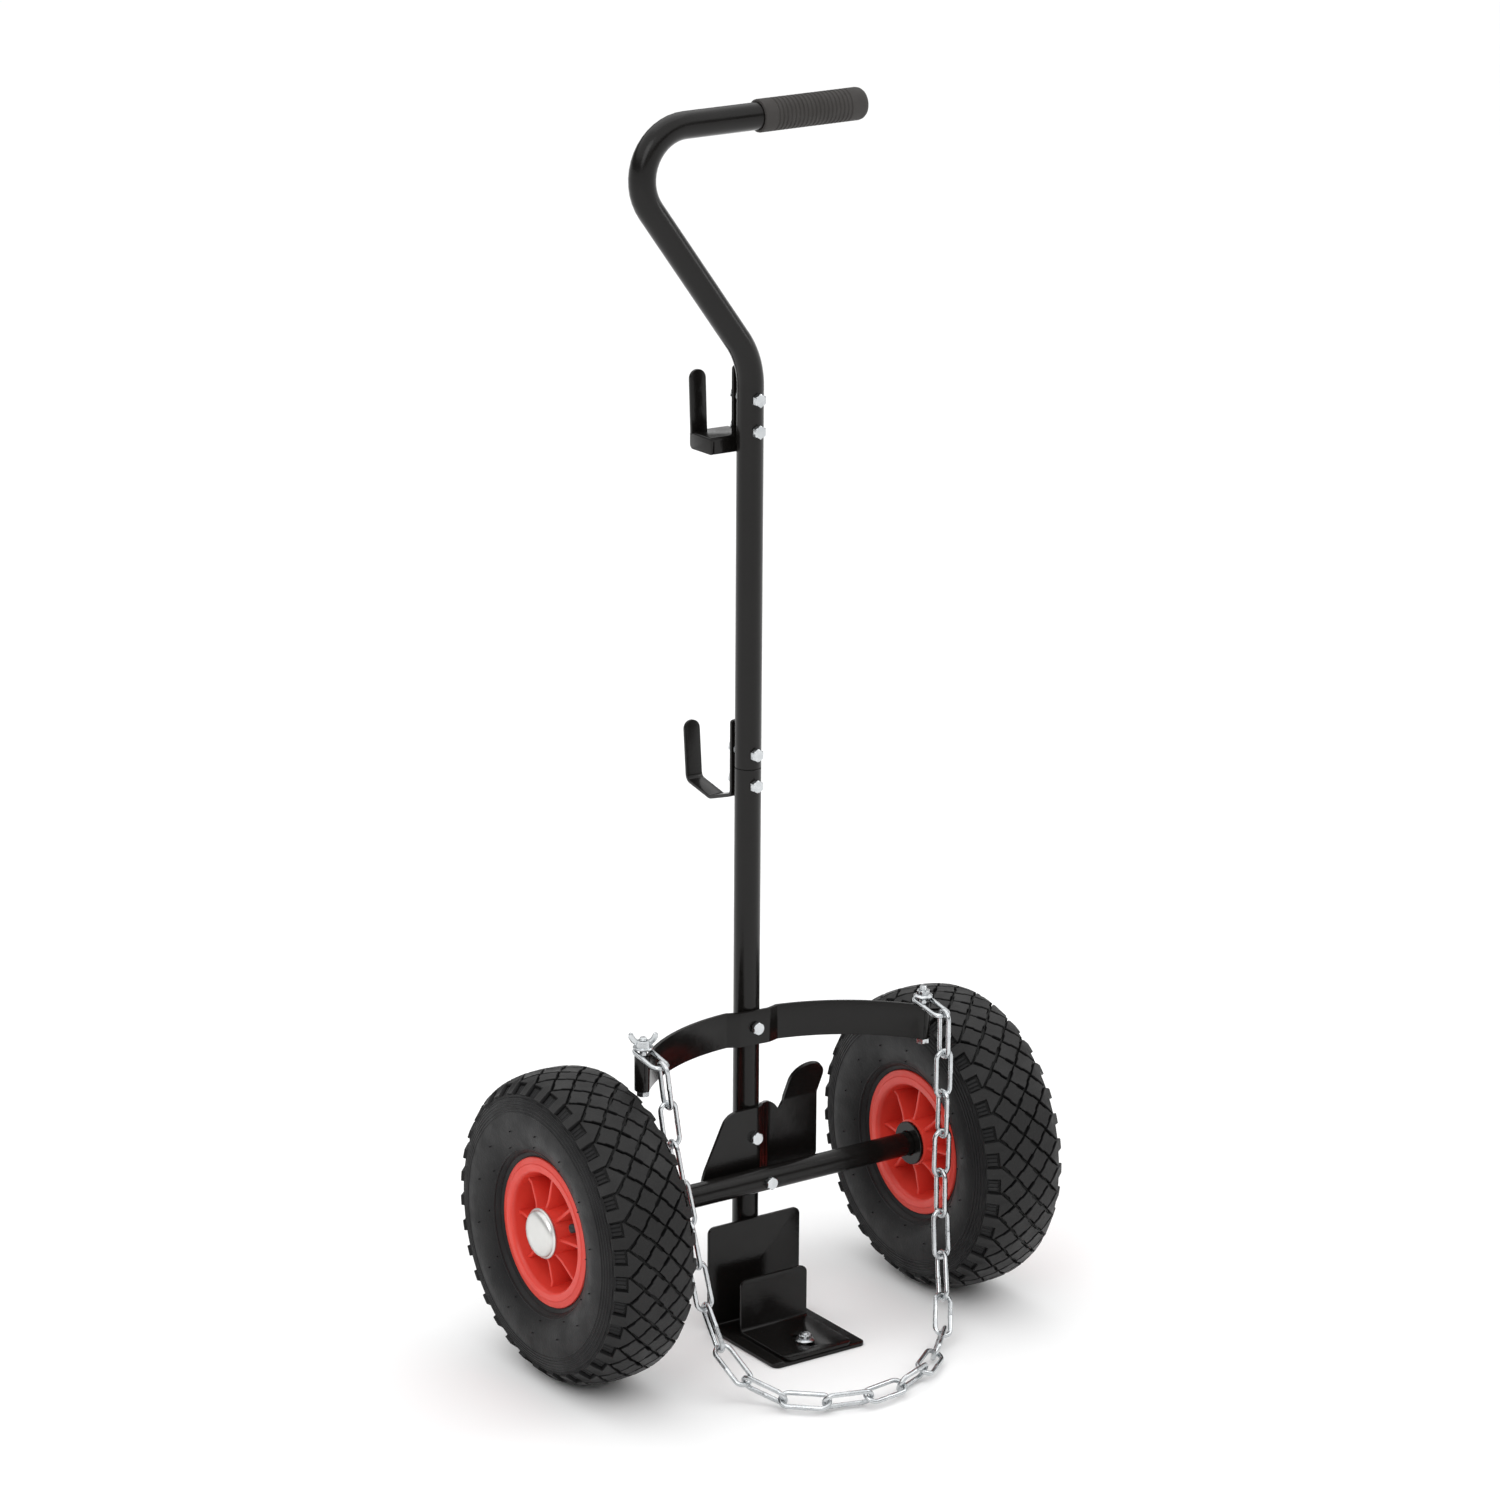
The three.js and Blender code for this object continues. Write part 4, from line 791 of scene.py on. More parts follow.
# %% Valve stem, hub cap and stop washer
VALVE_LENGTH, VALVE_LEAN, VALVE_ROOT = 28.0, 42, (51.6, 6.0)
CAP_GAP, WASHER_THICK = 0.3, 3.0
stem_profile = [
    (0, 0), (4.0, 0), (4.0, 8.0), (3.9, 15.0), (3.3, 18.5), (3.0, 19.2), (3.0, 20.4), (3.7, 21.2),
    (3.9, 22.0), (3.9, 26.6), (3.3, 27.6), (0, VALVE_LENGTH),
]
cap_profile = [
    (0, 6.4), (10.4, 6.0), (15.8, 4.6), (18.0, 2.6), (18.4, 0.2), (20.6, 0.2), (21.0, 0.6), (21.0, 1.5),
    (20.4, 2.1), (19.6, 2.6), (18.9, 4.3), (17.4, 5.6), (13.5, 6.9), (7.4, 7.7), (0, 7.95),
]
washer_half = [(10.6, 0.3), (11.0, 0), (18.0, 0), (18.5, 0.5)]
washer_profile = washer_half + [(r, WASHER_THICK - h) for r, h in reversed(washer_half)]
for side, turn in valve_turns.items():
    wheel = wheel_places[side]
    stem = turned(stem_profile, 32, closed=False)
    root, height = VALVE_ROOT
    lean = Matrix.Rotation(radians(-90 + VALVE_LEAN), 4, "Y")
    stem_place = Matrix.Rotation(turn, 4, "Z") @ Matrix.Translation((root, 0, height)) @ lean
    piece(f"{side}_valve_stem", stem, VALVE, [f"{side}_valve"], wheel @ stem_place)
    cap = turned(cap_profile, 64, closed=False)
    raised = Matrix.Translation((0, 0, HUB_FACE + CAP_GAP))
    piece(f"{side}_pressed_cap", cap, CAP, [f"{side}_hub_cap"], wheel @ raised)
    washer = turned(washer_profile, 64)
    lowered = Matrix.Translation((0, 0, -HUB_FACE - CAP_GAP - WASHER_THICK))
    piece(f"{side}_stop_ring", washer, BLACK, [f"{side}_stop_washer"], wheel @ lowered)

# %% [markdown]
# ## Drawn sections: tube, strap, sheet and wire
# A tube, a strap, a folded plate and a chain link are all one section that travels along a line. One tool
# does them all: it pushes the section straight on, or swings it about a centre, and keeps the open end at
# the origin so that each step is written as seen by the section itself.


# %% A section that travels
class Drawn:
    def __init__(self, bm):
        self.bm = bm
        self.end = list(bm.faces)
        self.started = False
        self.moved = Matrix.Identity(4)

    def advance(self, motion):
        self.moved = self.moved @ motion
        self.bm.transform(motion.inverted())

    def push(self, motion):
        """Extrudes the open end and moves it. Only the first end stays behind, as the start's cap."""
        before = self.end
        pushed = bmesh.ops.extrude_face_region(self.bm, geom=before)
        bmesh.ops.transform(self.bm, matrix=motion, verts=made(pushed))
        if self.started:
            bmesh.ops.delete(self.bm, geom=before, context="FACES")
        self.started = True
        self.end = made(pushed, bmesh.types.BMFace)
        self.advance(motion)

    def straight(self, length):
        self.push(Matrix.Translation((0, 0, length)))
        return self

    def bend(self, radius, angle, toward, steps):
        """Swings the section by degrees about a centre that lies in a direction from its middle."""
        toward = Vector(toward).normalized()
        centre, axis = toward * radius, Z_AXIS.cross(toward)
        turn = Matrix.Rotation(radians(angle) / steps, 4, axis)
        for _ in range(steps):
            self.push(Matrix.Translation(centre) @ turn @ Matrix.Translation(-centre))
        return self

    def path(self, corners, radii, toward_start, steps=8):
        """Follows corners in the section's XZ plane or YZ plane, rounding each by a radius."""
        points = [Vector(c) for c in corners]
        runs = [(b - a) for a, b in zip(points, points[1:])]
        setback = 0
        for k, run in enumerate(runs):
            if k + 1 < len(runs):
                turn = run.angle_signed(runs[k + 1])
                ahead = radii[k] * tan(abs(turn) / 2)
            else:
                turn, ahead = 0, 0
            self.straight(run.length - setback - ahead)
            if turn:
                self.bend(radii[k], degrees(abs(turn)), Vector(toward_start) * (-1 if turn < 0 else 1), steps)
            setback = ahead
        return self

    def done(self):
        self.bm.transform(self.moved)
        bmesh.ops.recalc_face_normals(self.bm, faces=self.bm.faces)
        return self.bm


def tube_section(outer, inner, sides):
    bm = bmesh.new()
    for radius in (outer, inner):
        bmesh.ops.create_circle(bm, segments=sides, radius=radius)
    bmesh.ops.bridge_loops(bm, edges=bm.edges[:])
    return bm


def disc_section(radius, sides):
    bm = bmesh.new()
    bmesh.ops.create_circle(bm, cap_ends=True, segments=sides, radius=radius)
    return bm


def strip_section(width_x, width_y):
    bm = bmesh.new()
    bmesh.ops.create_grid(bm, x_segments=1, y_segments=1, size=0.5)
    bm.transform(Matrix.Diagonal((width_x, width_y, 1, 1)))
    return bm


def flat_plate(x0, x1, y0, y1, z0, z1):
    bm = bmesh.new()
    bmesh.ops.create_cube(bm, size=1)
    middle = Matrix.Translation(((x0 + x1) / 2, (y0 + y1) / 2, (z0 + z1) / 2))
    bm.transform(middle @ Matrix.Diagonal((x1 - x0, y1 - y0, z1 - z0, 1)))
    return bm


def round_corners(bm, radius, chosen, segments=8):
    """Rounds the short corner edges of a sheet that a test picks out."""
    bevel(bm, [e for e in bm.edges if chosen(*(v.co for v in e.verts))], radius, segments)


def cut(bm, cutter):
    """Takes a solid bmesh away from another and returns the new one."""
    objects = []
    for shape in (bm, cutter):
        mesh = bpy.data.meshes.new("cut")
        shape.to_mesh(mesh)
        shape.free()
        obj = bpy.data.objects.new("cut", mesh)
        bpy.context.scene.collection.objects.link(obj)
        objects.append(obj)
    body, tool = objects
    modifier = body.modifiers.new("cut", "BOOLEAN")
    modifier.operation = "DIFFERENCE"
    modifier.solver = "EXACT"
    modifier.object = tool
    bpy.context.view_layer.update()
    result = bpy.data.meshes.new_from_object(body.evaluated_get(bpy.context.evaluated_depsgraph_get()))
    fresh = bmesh.new()
    fresh.from_mesh(result)
    for obj in objects:
        mesh = obj.data
        bpy.data.objects.remove(obj)
        bpy.data.meshes.remove(mesh)
    bpy.data.meshes.remove(result)
    return fresh


ALONG_Y = Matrix.Rotation(-pi / 2, 4, "X")  # turns Z into Y
post_low, post_high = box_mm("lower_post")
POST_Y = (post_low.y + post_high.y) / 2
TUBE_RADIUS = (post_high.y - post_low.y) / 2
TUBE_WALL, AXLE_WALL = 1.5, 2.0
print(f"post of {2 * TUBE_RADIUS:.0f} mm tube at y {POST_Y:.1f}")

# %% [markdown]
# ## Post, sleeve, handle and axle
# The lower post and the handle are two lengths of one tube, which butt together over an inner sleeve. The
# handle is bent twice: first a wide kink to the left, then a tight bend over to the grip. Sawn ends are
# broken with a small chamfer, which gives the thin dark line at the joint.

# %% Straight tubes
def plain_tube(length, outer, inner, chamfer=0.4, steps=56):
    half = [(inner, 0), (outer - chamfer, 0), (outer, chamfer)]
    return turned(half + [(radius, length - z) for radius, z in reversed(half)], steps)


post = plain_tube(post_high.z - post_low.z, TUBE_RADIUS, TUBE_RADIUS - TUBE_WALL)
piece("lower_post_tube", post, BLACK, ["lower_post"], Matrix.Translation((0, POST_Y, post_low.z)))
sleeve_low, sleeve_high = box_mm("post_sleeve")
sleeve_radius = (sleeve_high.y - sleeve_low.y) / 2
sleeve = plain_tube(sleeve_high.z - sleeve_low.z, sleeve_radius, sleeve_radius - TUBE_WALL)
piece("sleeve_tube", sleeve, ZINC, ["post_sleeve"], Matrix.Translation((0, POST_Y, sleeve_low.z)))
axle_low, axle_high = box_mm("axle_tube")
AXLE_RADIUS, AXLE_Z = (axle_high.z - axle_low.z) / 2, (axle_high.z + axle_low.z) / 2
axle = plain_tube(axle_high.x - axle_low.x, AXLE_RADIUS, AXLE_RADIUS - AXLE_WALL)
axle_place = Matrix.Translation((axle_low.x, 0, AXLE_Z)) @ Matrix.Rotation(pi / 2, 4, "Y")
piece("axle_tube_turned", axle, BLACK, ["axle_tube"], axle_place)

# %% Handle
JOINT, KNEE_Z, LEAN, TOP_Z, RISE = 482.15, 821.7, radians(36.6), 1013.9, radians(1)
KNEE_BEND, TOP_BEND = 65.0, 40.6
grip_low, grip_high = box_mm("grip")
GRIP_END = 3.3  # how far the closed end stands past the bar
corner_x = -(TOP_Z - KNEE_Z) * tan(LEAN)
bar_end = grip_high.x - GRIP_END
handle_corners = [
    (JOINT, 0),
    (KNEE_Z, 0),
    (TOP_Z, corner_x),
    (TOP_Z + (bar_end - corner_x) * tan(RISE), bar_end),
]
handle = Drawn(tube_section(TUBE_RADIUS, TUBE_RADIUS - TUBE_WALL, 48))
handle.path(handle_corners, [KNEE_BEND, TOP_BEND], (-1, 0, 0), 16)
handle_bm = handle.done()
soften(handle_bm, 0.4, 1, above=60)
piece("bent_handle", handle_bm, BLACK, ["handle_tube"], Matrix.Translation((0, POST_Y, JOINT)))

# %% [markdown]
# ## The grip
# A rubber sleeve is pushed over the bar. Its middle is moulded with fine rings for hold, its ends are
# smooth bands, and the closed outer end is gently domed.

# %% Grip
GRIP_LENGTH, BORE_DEPTH = 101.0, 98.0
RING_PITCH, RING_DEPTH, RINGS_FROM, RINGS_TO = 3.9, 0.75, 12, 86.5
bore, outer = TUBE_RADIUS + 0.3, TUBE_RADIUS + 2.3
grip_profile = [(0, BORE_DEPTH), (bore, BORE_DEPTH), (bore, 0), (outer - 0.9, 0), (outer - 0.2, 0.5)]
grip_profile += [(outer, 1.4), (outer, RINGS_FROM - 1)]
rings = int((RINGS_TO - RINGS_FROM) / RING_PITCH)
for k in range(rings):
    start = RINGS_FROM + k * RING_PITCH
    grip_profile += [
        (outer, start),
        (outer - RING_DEPTH, start + 0.7),
        (outer - RING_DEPTH, start + 1.3),
        (outer, start + 2.0),
    ]
grip_profile += [(outer, 88), (outer, 95.5), (outer - 0.5, 98), (outer - 1.8, 99.9), (outer - 4, 100.7)]
grip_profile += [(0, GRIP_LENGTH)]
grip_start = Matrix.Translation((grip_low.x, POST_Y, TOP_Z + (grip_low.x - corner_x) * tan(RISE)))
grip_place = grip_start @ Matrix.Rotation(pi / 2 - RISE, 4, "Y")
grip = turned(grip_profile, 64, closed=False)
piece("ringed_grip", grip, GRIP, ["grip"], grip_place, sharp=40)

# %% [markdown]
# ## Folded plates and hooks
# Every plate is 3 mm sheet, folded over a small radius before welding or bolting. A sheet is a narrow
# section that travels along the fold line; then its free corners are rounded and all its sheared edges are
# lightly broken, as they are before painting.

# %% Toe plate and sliding clamp
THICK, EDGE, FOLD = 3.0, 0.45, 4.0


def drawn_sheet(corners, width, radii, steps=6):
    """A sheet of a width along X that follows corners of (Y, Z)."""
    start = Vector(corners[0])
    first = (Vector(corners[1]) - start).normalized()
    local = [(Vector(c) - start) for c in corners]
    to_local = Matrix((first, (-first.y, first.x)))
    local = [to_local @ c for c in local]
    sheet = Drawn(strip_section(width, THICK))
    sheet.path(local, radii, (0, -1, 0), steps)
    bm = sheet.done()
    place = Matrix(
        (
            (1, 0, 0, 0),
            (0, -first.y, first.x, start.x),
            (0, first.x, first.y, start.y),
            (0, 0, 0, 1),
        )
    )
    bm.transform(place)
    bmesh.ops.recalc_face_normals(bm, faces=bm.faces)
    return bm


def angle_plate(node, wall_back):
    """An angle of sheet: a floor from its front edge, folded up into a wall."""
    low, high = box_mm(node)
    middle = low.z + THICK / 2
    wall = wall_back - THICK / 2
    bm = drawn_sheet([(low.y, middle), (wall, middle), (wall, high.z)], high.x - low.x, [FOLD])
    half = (high.x - low.x) / 2 - 0.1

    def free_corner(a, b):
        at_front = abs(a.y - low.y) < 0.1 and abs(b.y - low.y) < 0.1 and abs(a.z - b.z) > 1
        at_top = abs(a.z - high.z) < 0.1 and abs(b.z - high.z) < 0.1 and abs(a.y - b.y) > 1
        return abs(a.x) > half and abs(a.x - b.x) < 0.1 and (at_front or at_top)

    round_corners(bm, 6, free_corner)
    return bm


toe = angle_plate("toe_plate", box_mm("toe_plate")[1].y)
soften(toe, EDGE, 2, above=60)
piece("toe_plate_folded", toe, BLACK, ["toe_plate"])

clamp_low, clamp_high = box_mm("clamp_angle")
CLAMP_BOLT_Y, SLOT_BACK, SLOT_FRONT, SLOT_RADIUS = -62.0, 16.0, 12.0, 3.4
clamp = angle_plate("clamp_angle", clamp_high.y)
slot_ends = (CLAMP_BOLT_Y - SLOT_FRONT, CLAMP_BOLT_Y + SLOT_BACK)
sheet_middle = clamp_low.z + THICK / 2
slot = flat_plate(-SLOT_RADIUS, SLOT_RADIUS, *slot_ends, sheet_middle - 2 * THICK, sheet_middle + 2 * THICK)
round_corners(slot, SLOT_RADIUS - 0.02, lambda a, b: abs(a.z - b.z) > 5, 8)
clamp = cut(clamp, slot)
soften(clamp, EDGE, 2, above=60)
piece("clamp_folded", clamp, BLACK, ["clamp_angle"])

# %% Lower hook
hook_low, hook_high = box_mm("lower_hook")
SPINE_Y = hook_low.y + THICK / 2
HOOK_TOP, TIP_LOW, TIP_FRONT = 519.5, 495, 90  # the spine's top; where the tip's corners begin
hook_corners = [(SPINE_Y, HOOK_TOP), (SPINE_Y, 455.5), (72, 445.6), (105.5, 452.5), (110, 502)]
hook_width = hook_high.x - hook_low.x
hook = drawn_sheet(hook_corners, hook_width, [FOLD + 1, 9, FOLD + 2], 8)


def through_sheet(a, b):
    """Whether an edge goes through the sheet's thickness."""
    return abs(a.x - b.x) < 0.1 and (a - b).length < THICK + 0.3


def at_tip(a, b):
    return min(a.z, b.z) > TIP_LOW and min(a.y, b.y) > TIP_FRONT and through_sheet(a, b)


def at_spine_top(a, b):
    return min(a.z, b.z) > HOOK_TOP - 0.5 and max(a.y, b.y) < SPINE_Y + THICK and through_sheet(a, b)


round_corners(hook, 7.3, at_tip, 10)
round_corners(hook, 3, at_spine_top, 5)
soften(hook, EDGE, 2, above=60)
piece("lower_hook_bent", hook, BLACK, ["lower_hook"])

# %% Upper hook: a spine, a folded shelf with two skirts, and a finger
shelf_low, shelf_high = box_mm("upper_hook")
SHELF_TOP, SKIRT, SHELF_DEEP = 758.4, 14.0, 30
shelf_foot, left_edge = SHELF_TOP - SKIRT, shelf_low.x
shelf_back = hook_low.y + SHELF_DEEP
PAST = 600  # low enough for a cutter to go right through the shelf's foot
spine_half, sheet_half = hook_width / 2, THICK / 2
spine = flat_plate(-spine_half, spine_half, SPINE_Y - sheet_half, SPINE_Y + sheet_half, shelf_foot, shelf_high.z)
round_corners(spine, 3, lambda a, b: min(a.z, b.z) > shelf_high.z - 0.1 and abs(a.y - b.y) > 2, 5)
soften(spine, EDGE, 2, above=60)


shelf = flat_plate(left_edge, hook_width / 2, hook_low.y + 0.05, shelf_back, shelf_foot, SHELF_TOP)
opening = flat_plate(left_edge + THICK, 60, hook_low.y + THICK, 200, PAST, SHELF_TOP - THICK)


def at_fold(a, b):
    return min(a.z, b.z) > SHELF_TOP - 0.1 and (max(a.y, b.y) < hook_low.y + 1 or max(a.x, b.x) < 0)


def at_skirt_corner(a, b):
    at_back = min(a.y, b.y) > shelf_back - 1 and max(a.z, b.z) < shelf_foot + 0.1
    return at_back and abs(a.y - b.y) < 0.1 and abs(a.x - b.x) > 2


round_corners(shelf, 2.2, at_fold)
seam_x, seam_y = left_edge + THICK, hook_low.y
seam = flat_plate(seam_x - 0.1, seam_x + 0.6, seam_y - 1, seam_y + THICK + 1, PAST, SHELF_TOP - THICK - 0.5)
shelf = cut(cut(shelf, opening), seam)
round_corners(shelf, 4, at_skirt_corner, 5)
soften(shelf, 0.35, 2, above=60)
HOOK_FINGER, HOOK_LEAN = 50.0, radians(-3)
finger = flat_plate(left_edge, left_edge + 15, -THICK / 2, THICK / 2, -THICK, HOOK_FINGER)
round_corners(finger, 7.3, lambda a, b: min(a.z, b.z) > HOOK_FINGER - 1 and abs(a.y - b.y) > 2, 10)
soften(finger, EDGE, 2, above=60)
finger_place = Matrix.Translation((0, shelf_back - THICK / 2, SHELF_TOP)) @ Matrix.Rotation(HOOK_LEAN, 4, "X")
join(shelf, finger, finger_place)
join(spine, shelf)
piece("upper_hook_folded", spine, BLACK, ["upper_hook"])

# %% [markdown]
# ## The holder plate
# A pressed plate lies across the front of the post, wraps round its right side and goes on as a wing with a
# finger that leans to the load. Its outline is drawn flat and cut at the bend lines; then the flat plate is
# laid along the plan path.

# %% Holder plate
FRONT_Y = 13.7  # middle of a sheet that lies on the front of the post
PLATE_LEFT, WING_Y, WRAP_RADIUS, WRAP_END, WRAP_STEPS = -54.0, 26.5, POST_Y - FRONT_Y, -25, 12
FINGER_ROOT, FINGER_LEAN, FINGER_LONG = AXLE_Z + 54, radians(25), 38.0
FINGER_X = (37.5, 71.5)
FINGER_BEND, BEND_CUTS, TIP_ROUND = 3.2, 4, 16.8
WING_CURVE = [(16.2, 23.6), (18.6, 25.6), (22, WING_Y)]  # from the wrap to the flat wing
plan = [(PLATE_LEFT, FRONT_Y)]
for k in range(WRAP_STEPS + 1):
    swing = radians(-90 + (WRAP_END + 90) * k / WRAP_STEPS)
    plan.append((WRAP_RADIUS * cos(swing), POST_Y + WRAP_RADIUS * sin(swing)))
plan += [*WING_CURVE, (FINGER_X[1], WING_Y)]
plan = np.array(plan)
plan_reach = np.concatenate([[0], np.cumsum(np.hypot(*np.diff(plan, axis=0).T))])


def reach_of(x):
    """The flat plate's own length at a place along X."""
    return float(np.interp(x, plan[:, 0], plan_reach))


foot, top = AXLE_Z - 3, AXLE_Z + 59
outline = [
    (reach_of(PLATE_LEFT), foot),
    (reach_of(FINGER_X[1]), foot),
    (reach_of(FINGER_X[1]), FINGER_ROOT),
    (reach_of(FINGER_X[0]), FINGER_ROOT),
    (reach_of(33), FINGER_ROOT - 7),
    (reach_of(26), FINGER_ROOT + 2),
    (reach_of(10.5), top),
    (reach_of(-28), top),
    (reach_of(-52), foot + 12),
]
flat = bmesh.new()
flat_verts = [flat.verts.new((x, 0, z)) for x, z in outline]
flat.faces.new(flat_verts)
root_edge = [e for e in flat.edges if set(e.verts) == {flat_verts[2], flat_verts[3]}]
rise = bmesh.ops.extrude_edge_only(flat, edges=root_edge)
bmesh.ops.translate(flat, verts=made(rise), vec=(0, 0, FINGER_LONG))
CORNER_ROUNDS = {0: 4, 1: 5, 5: 5, 7: 9, 8: 6}  # place in the outline and radius
for k, radius in CORNER_ROUNDS.items():
    bevel(flat, [flat_verts[k]], radius, 6, affect="VERTICES")
for end in (0, -1):
    tips = [v for v in flat.verts if v.co.z > FINGER_ROOT + FINGER_LONG - 0.01]
    tips.sort(key=lambda v: v.co.x)
    bevel(flat, [tips[end]], TIP_ROUND, 10, affect="VERTICES")


def cut_along(place, normal):
    everything = flat.verts[:] + flat.edges[:] + flat.faces[:]
    bmesh.ops.bisect_plane(flat, geom=everything, plane_co=place, plane_no=normal, dist=0.01)


for station in plan_reach[1:-1]:
    cut_along((float(station), 0, 0), (1, 0, 0))
for k in range(BEND_CUTS):
    cut_along((0, 0, FINGER_ROOT + FINGER_BEND * (k + 1) / BEND_CUTS), (0, 0, 1))
finger_left = reach_of(FINGER_X[0]) - 0.2
for vert in flat.verts:
    x = float(np.interp(vert.co.x, plan_reach, plan[:, 0]))
    y = float(np.interp(vert.co.x, plan_reach, plan[:, 1]))
    z = vert.co.z
    above = z - FINGER_ROOT
    if vert.co.x > finger_left and above > 0:
        bent_now = min(above / FINGER_BEND, 1) * FINGER_LEAN
        radius = FINGER_BEND / FINGER_LEAN
        beyond = max(above - FINGER_BEND, 0)
        y -= radius * (1 - cos(bent_now)) + beyond * sin(FINGER_LEAN)
        z = FINGER_ROOT + radius * sin(bent_now) + beyond * cos(FINGER_LEAN)
    vert.co = (x, y, z)
holder_settings = (
    ("SOLIDIFY", {"thickness": THICK * MM, "offset": 0.0, "use_even_offset": True}),
    ("BEVEL", {"width": EDGE * MM, "segments": 2, "limit_method": "ANGLE", "angle_limit": radians(60)}),
)
piece("holder_plate_pressed", flat, BLACK, ["holder_plate"], modifiers=holder_settings)

# %% [markdown]
# ## The chain hoop
# A flat strap is bent in a wide arc on each side of a short straight piece, where it bolts to the post. Its
# ends are rolled into eyes round the chain bolts. It is drawn lying in plan, from the middle outwards, one
# half at a time.

# %% Hoop
HOOP_RADIUS, HOOP_CENTRE, HOOP_SPREAD, HOOP_SLEW = 165.0, -146.0, 50.8, radians(-5)
hoop_low, hoop_high = box_mm("chain_hoop")
HOOP_HEIGHT, HOOP_MIDDLE = hoop_high.z - hoop_low.z, (hoop_high.z + hoop_low.z) / 2
EYE_OUTER = 6.3
hoop_place = Matrix.Translation((0, POST_Y, HOOP_MIDDLE)) @ Matrix.Rotation(HOOP_SLEW, 4, "Z")
front_y = FRONT_Y - POST_Y
FLAT_HALF, ARC_FROM, EYE_TURN = 14, 8, 318  # half the straight piece; where the arc starts; the eye's roll
ARC_START = 8.6  # the arc's own angle after the small joggle into it


def arc_at(angle, radius=HOOP_RADIUS):
    return Vector((radius * sin(radians(angle)), HOOP_CENTRE - POST_Y + radius * cos(radians(angle))))


def half_hoop():
    """The strap from its middle to the right eye. The section's X is the thickness, its Y the height."""
    strap = Drawn(strip_section(THICK, HOOP_HEIGHT))
    arc = arc_at(ARC_FROM)
    heading = Vector((cos(radians(ARC_FROM)), -sin(radians(ARC_FROM))))
    strap.path([(0, 0), (FLAT_HALF, 0), (arc.x, arc.y - front_y)], [6], (1, 0, 0), 4)
    slope = Vector((arc.x - FLAT_HALF, arc.y - front_y))
    turn = slope.angle_signed(heading)
    strap.bend(4, degrees(abs(turn)), (1 if turn > 0 else -1, 0, 0), 3)
    strap.bend(HOOP_RADIUS, HOOP_SPREAD - ARC_START, (1, 0, 0), 40)
    strap.bend(EYE_OUTER - THICK / 2, EYE_TURN, (-1, 0, 0), 28)
    return strap.done()


hoop = bmesh.new()
to_plan = Matrix(((0, 0, 1, 0), (-1, 0, 0, front_y), (0, 1, 0, 0), (0, 0, 0, 1)))
join(hoop, half_hoop(), to_plan)
join(hoop, half_hoop(), Matrix.Diagonal((-1, 1, 1, 1)) @ to_plan)
bmesh.ops.remove_doubles(hoop, verts=hoop.verts, dist=0.01)
middle_faces = [f for f in hoop.faces if all(abs(v.co.x) < 0.01 for v in f.verts)]
bmesh.ops.delete(hoop, geom=middle_faces, context="FACES_ONLY")
bmesh.ops.recalc_face_normals(hoop, faces=hoop.faces)
soften(hoop, 0.5, 2, above=60)
piece("hoop_strap", hoop, BLACK, ["chain_hoop"], hoop_place)

# %% [markdown]
# ## Bolts, nuts and washers
# The fixings are zinc-plated. A hexagon is a chamfered disc whose sides are pressed flat, so its corners
# meet the round chamfer in small arcs as on a real nut. The thread's end is turned with fine ridges.

# %% Hexagons and threads
def hexagon(flats, height, top=True, bottom=False, bore=0.0, steps=48):
    """A hexagon nut or head from Z 0 up. Chamfered ends leave the corners lower than the flats."""
    corner = flats / 2 / cos(radians(30))
    chamfer = (corner - flats / 2) * 0.62
    rim = flats / 2 * 0.96
    profile = [(bore, 0)]
    profile += [(rim, 0), (corner, chamfer)] if bottom else [(corner, 0)]
    profile += [(corner, height - chamfer), (rim, height)] if top else [(corner, height)]
    profile += [(bore, height)]
    bm = turned(profile, steps, closed=bore > 0)
    for vert in bm.verts:
        angle = atan2(vert.co.y, vert.co.x)
        off = (angle + radians(30)) % radians(60) - radians(30)
        reach = flats / 2 / cos(off)
        radius = hypot(vert.co.x, vert.co.y)
        if radius > reach:
            vert.co.x *= reach / radius
            vert.co.y *= reach / radius
    return bm


def thread(radius, length, pitch=1.0, steps=28):
    """A bolt's end from Z 0 up, with ridges and a chamfered tip."""
    profile = [(0, 0), (radius - 0.35, 0)]
    ridges = max(int((length - 1.0) / pitch), 1)
    for k in range(ridges):
        profile += [(radius - 0.05, (k + 0.5) * pitch), (radius - 0.42, (k + 1) * pitch)]
    profile += [(radius - 0.1, length - 0.8), (radius - 0.9, length), (0, length)]
    return turned(profile, steps, closed=False)


HEX_FLATS, HEAD, NUT, BOLT_RADIUS = 10.0, 4.0, 5.0, 3.0


def headed_bolt(length, end, threaded):
    """Head, shank up to end, and a thread that runs to the bolt's tip, along Z from 0."""
    bm = hexagon(HEX_FLATS, HEAD, top=False, bottom=True)
    start = HEAD - 0.5
    join(bm, turned([(0, start), (BOLT_RADIUS, start), (BOLT_RADIUS, end), (0, end)], 24, closed=False))
    join(bm, thread(BOLT_RADIUS, threaded), Matrix.Translation((0, 0, length - threaded)))
    return bm


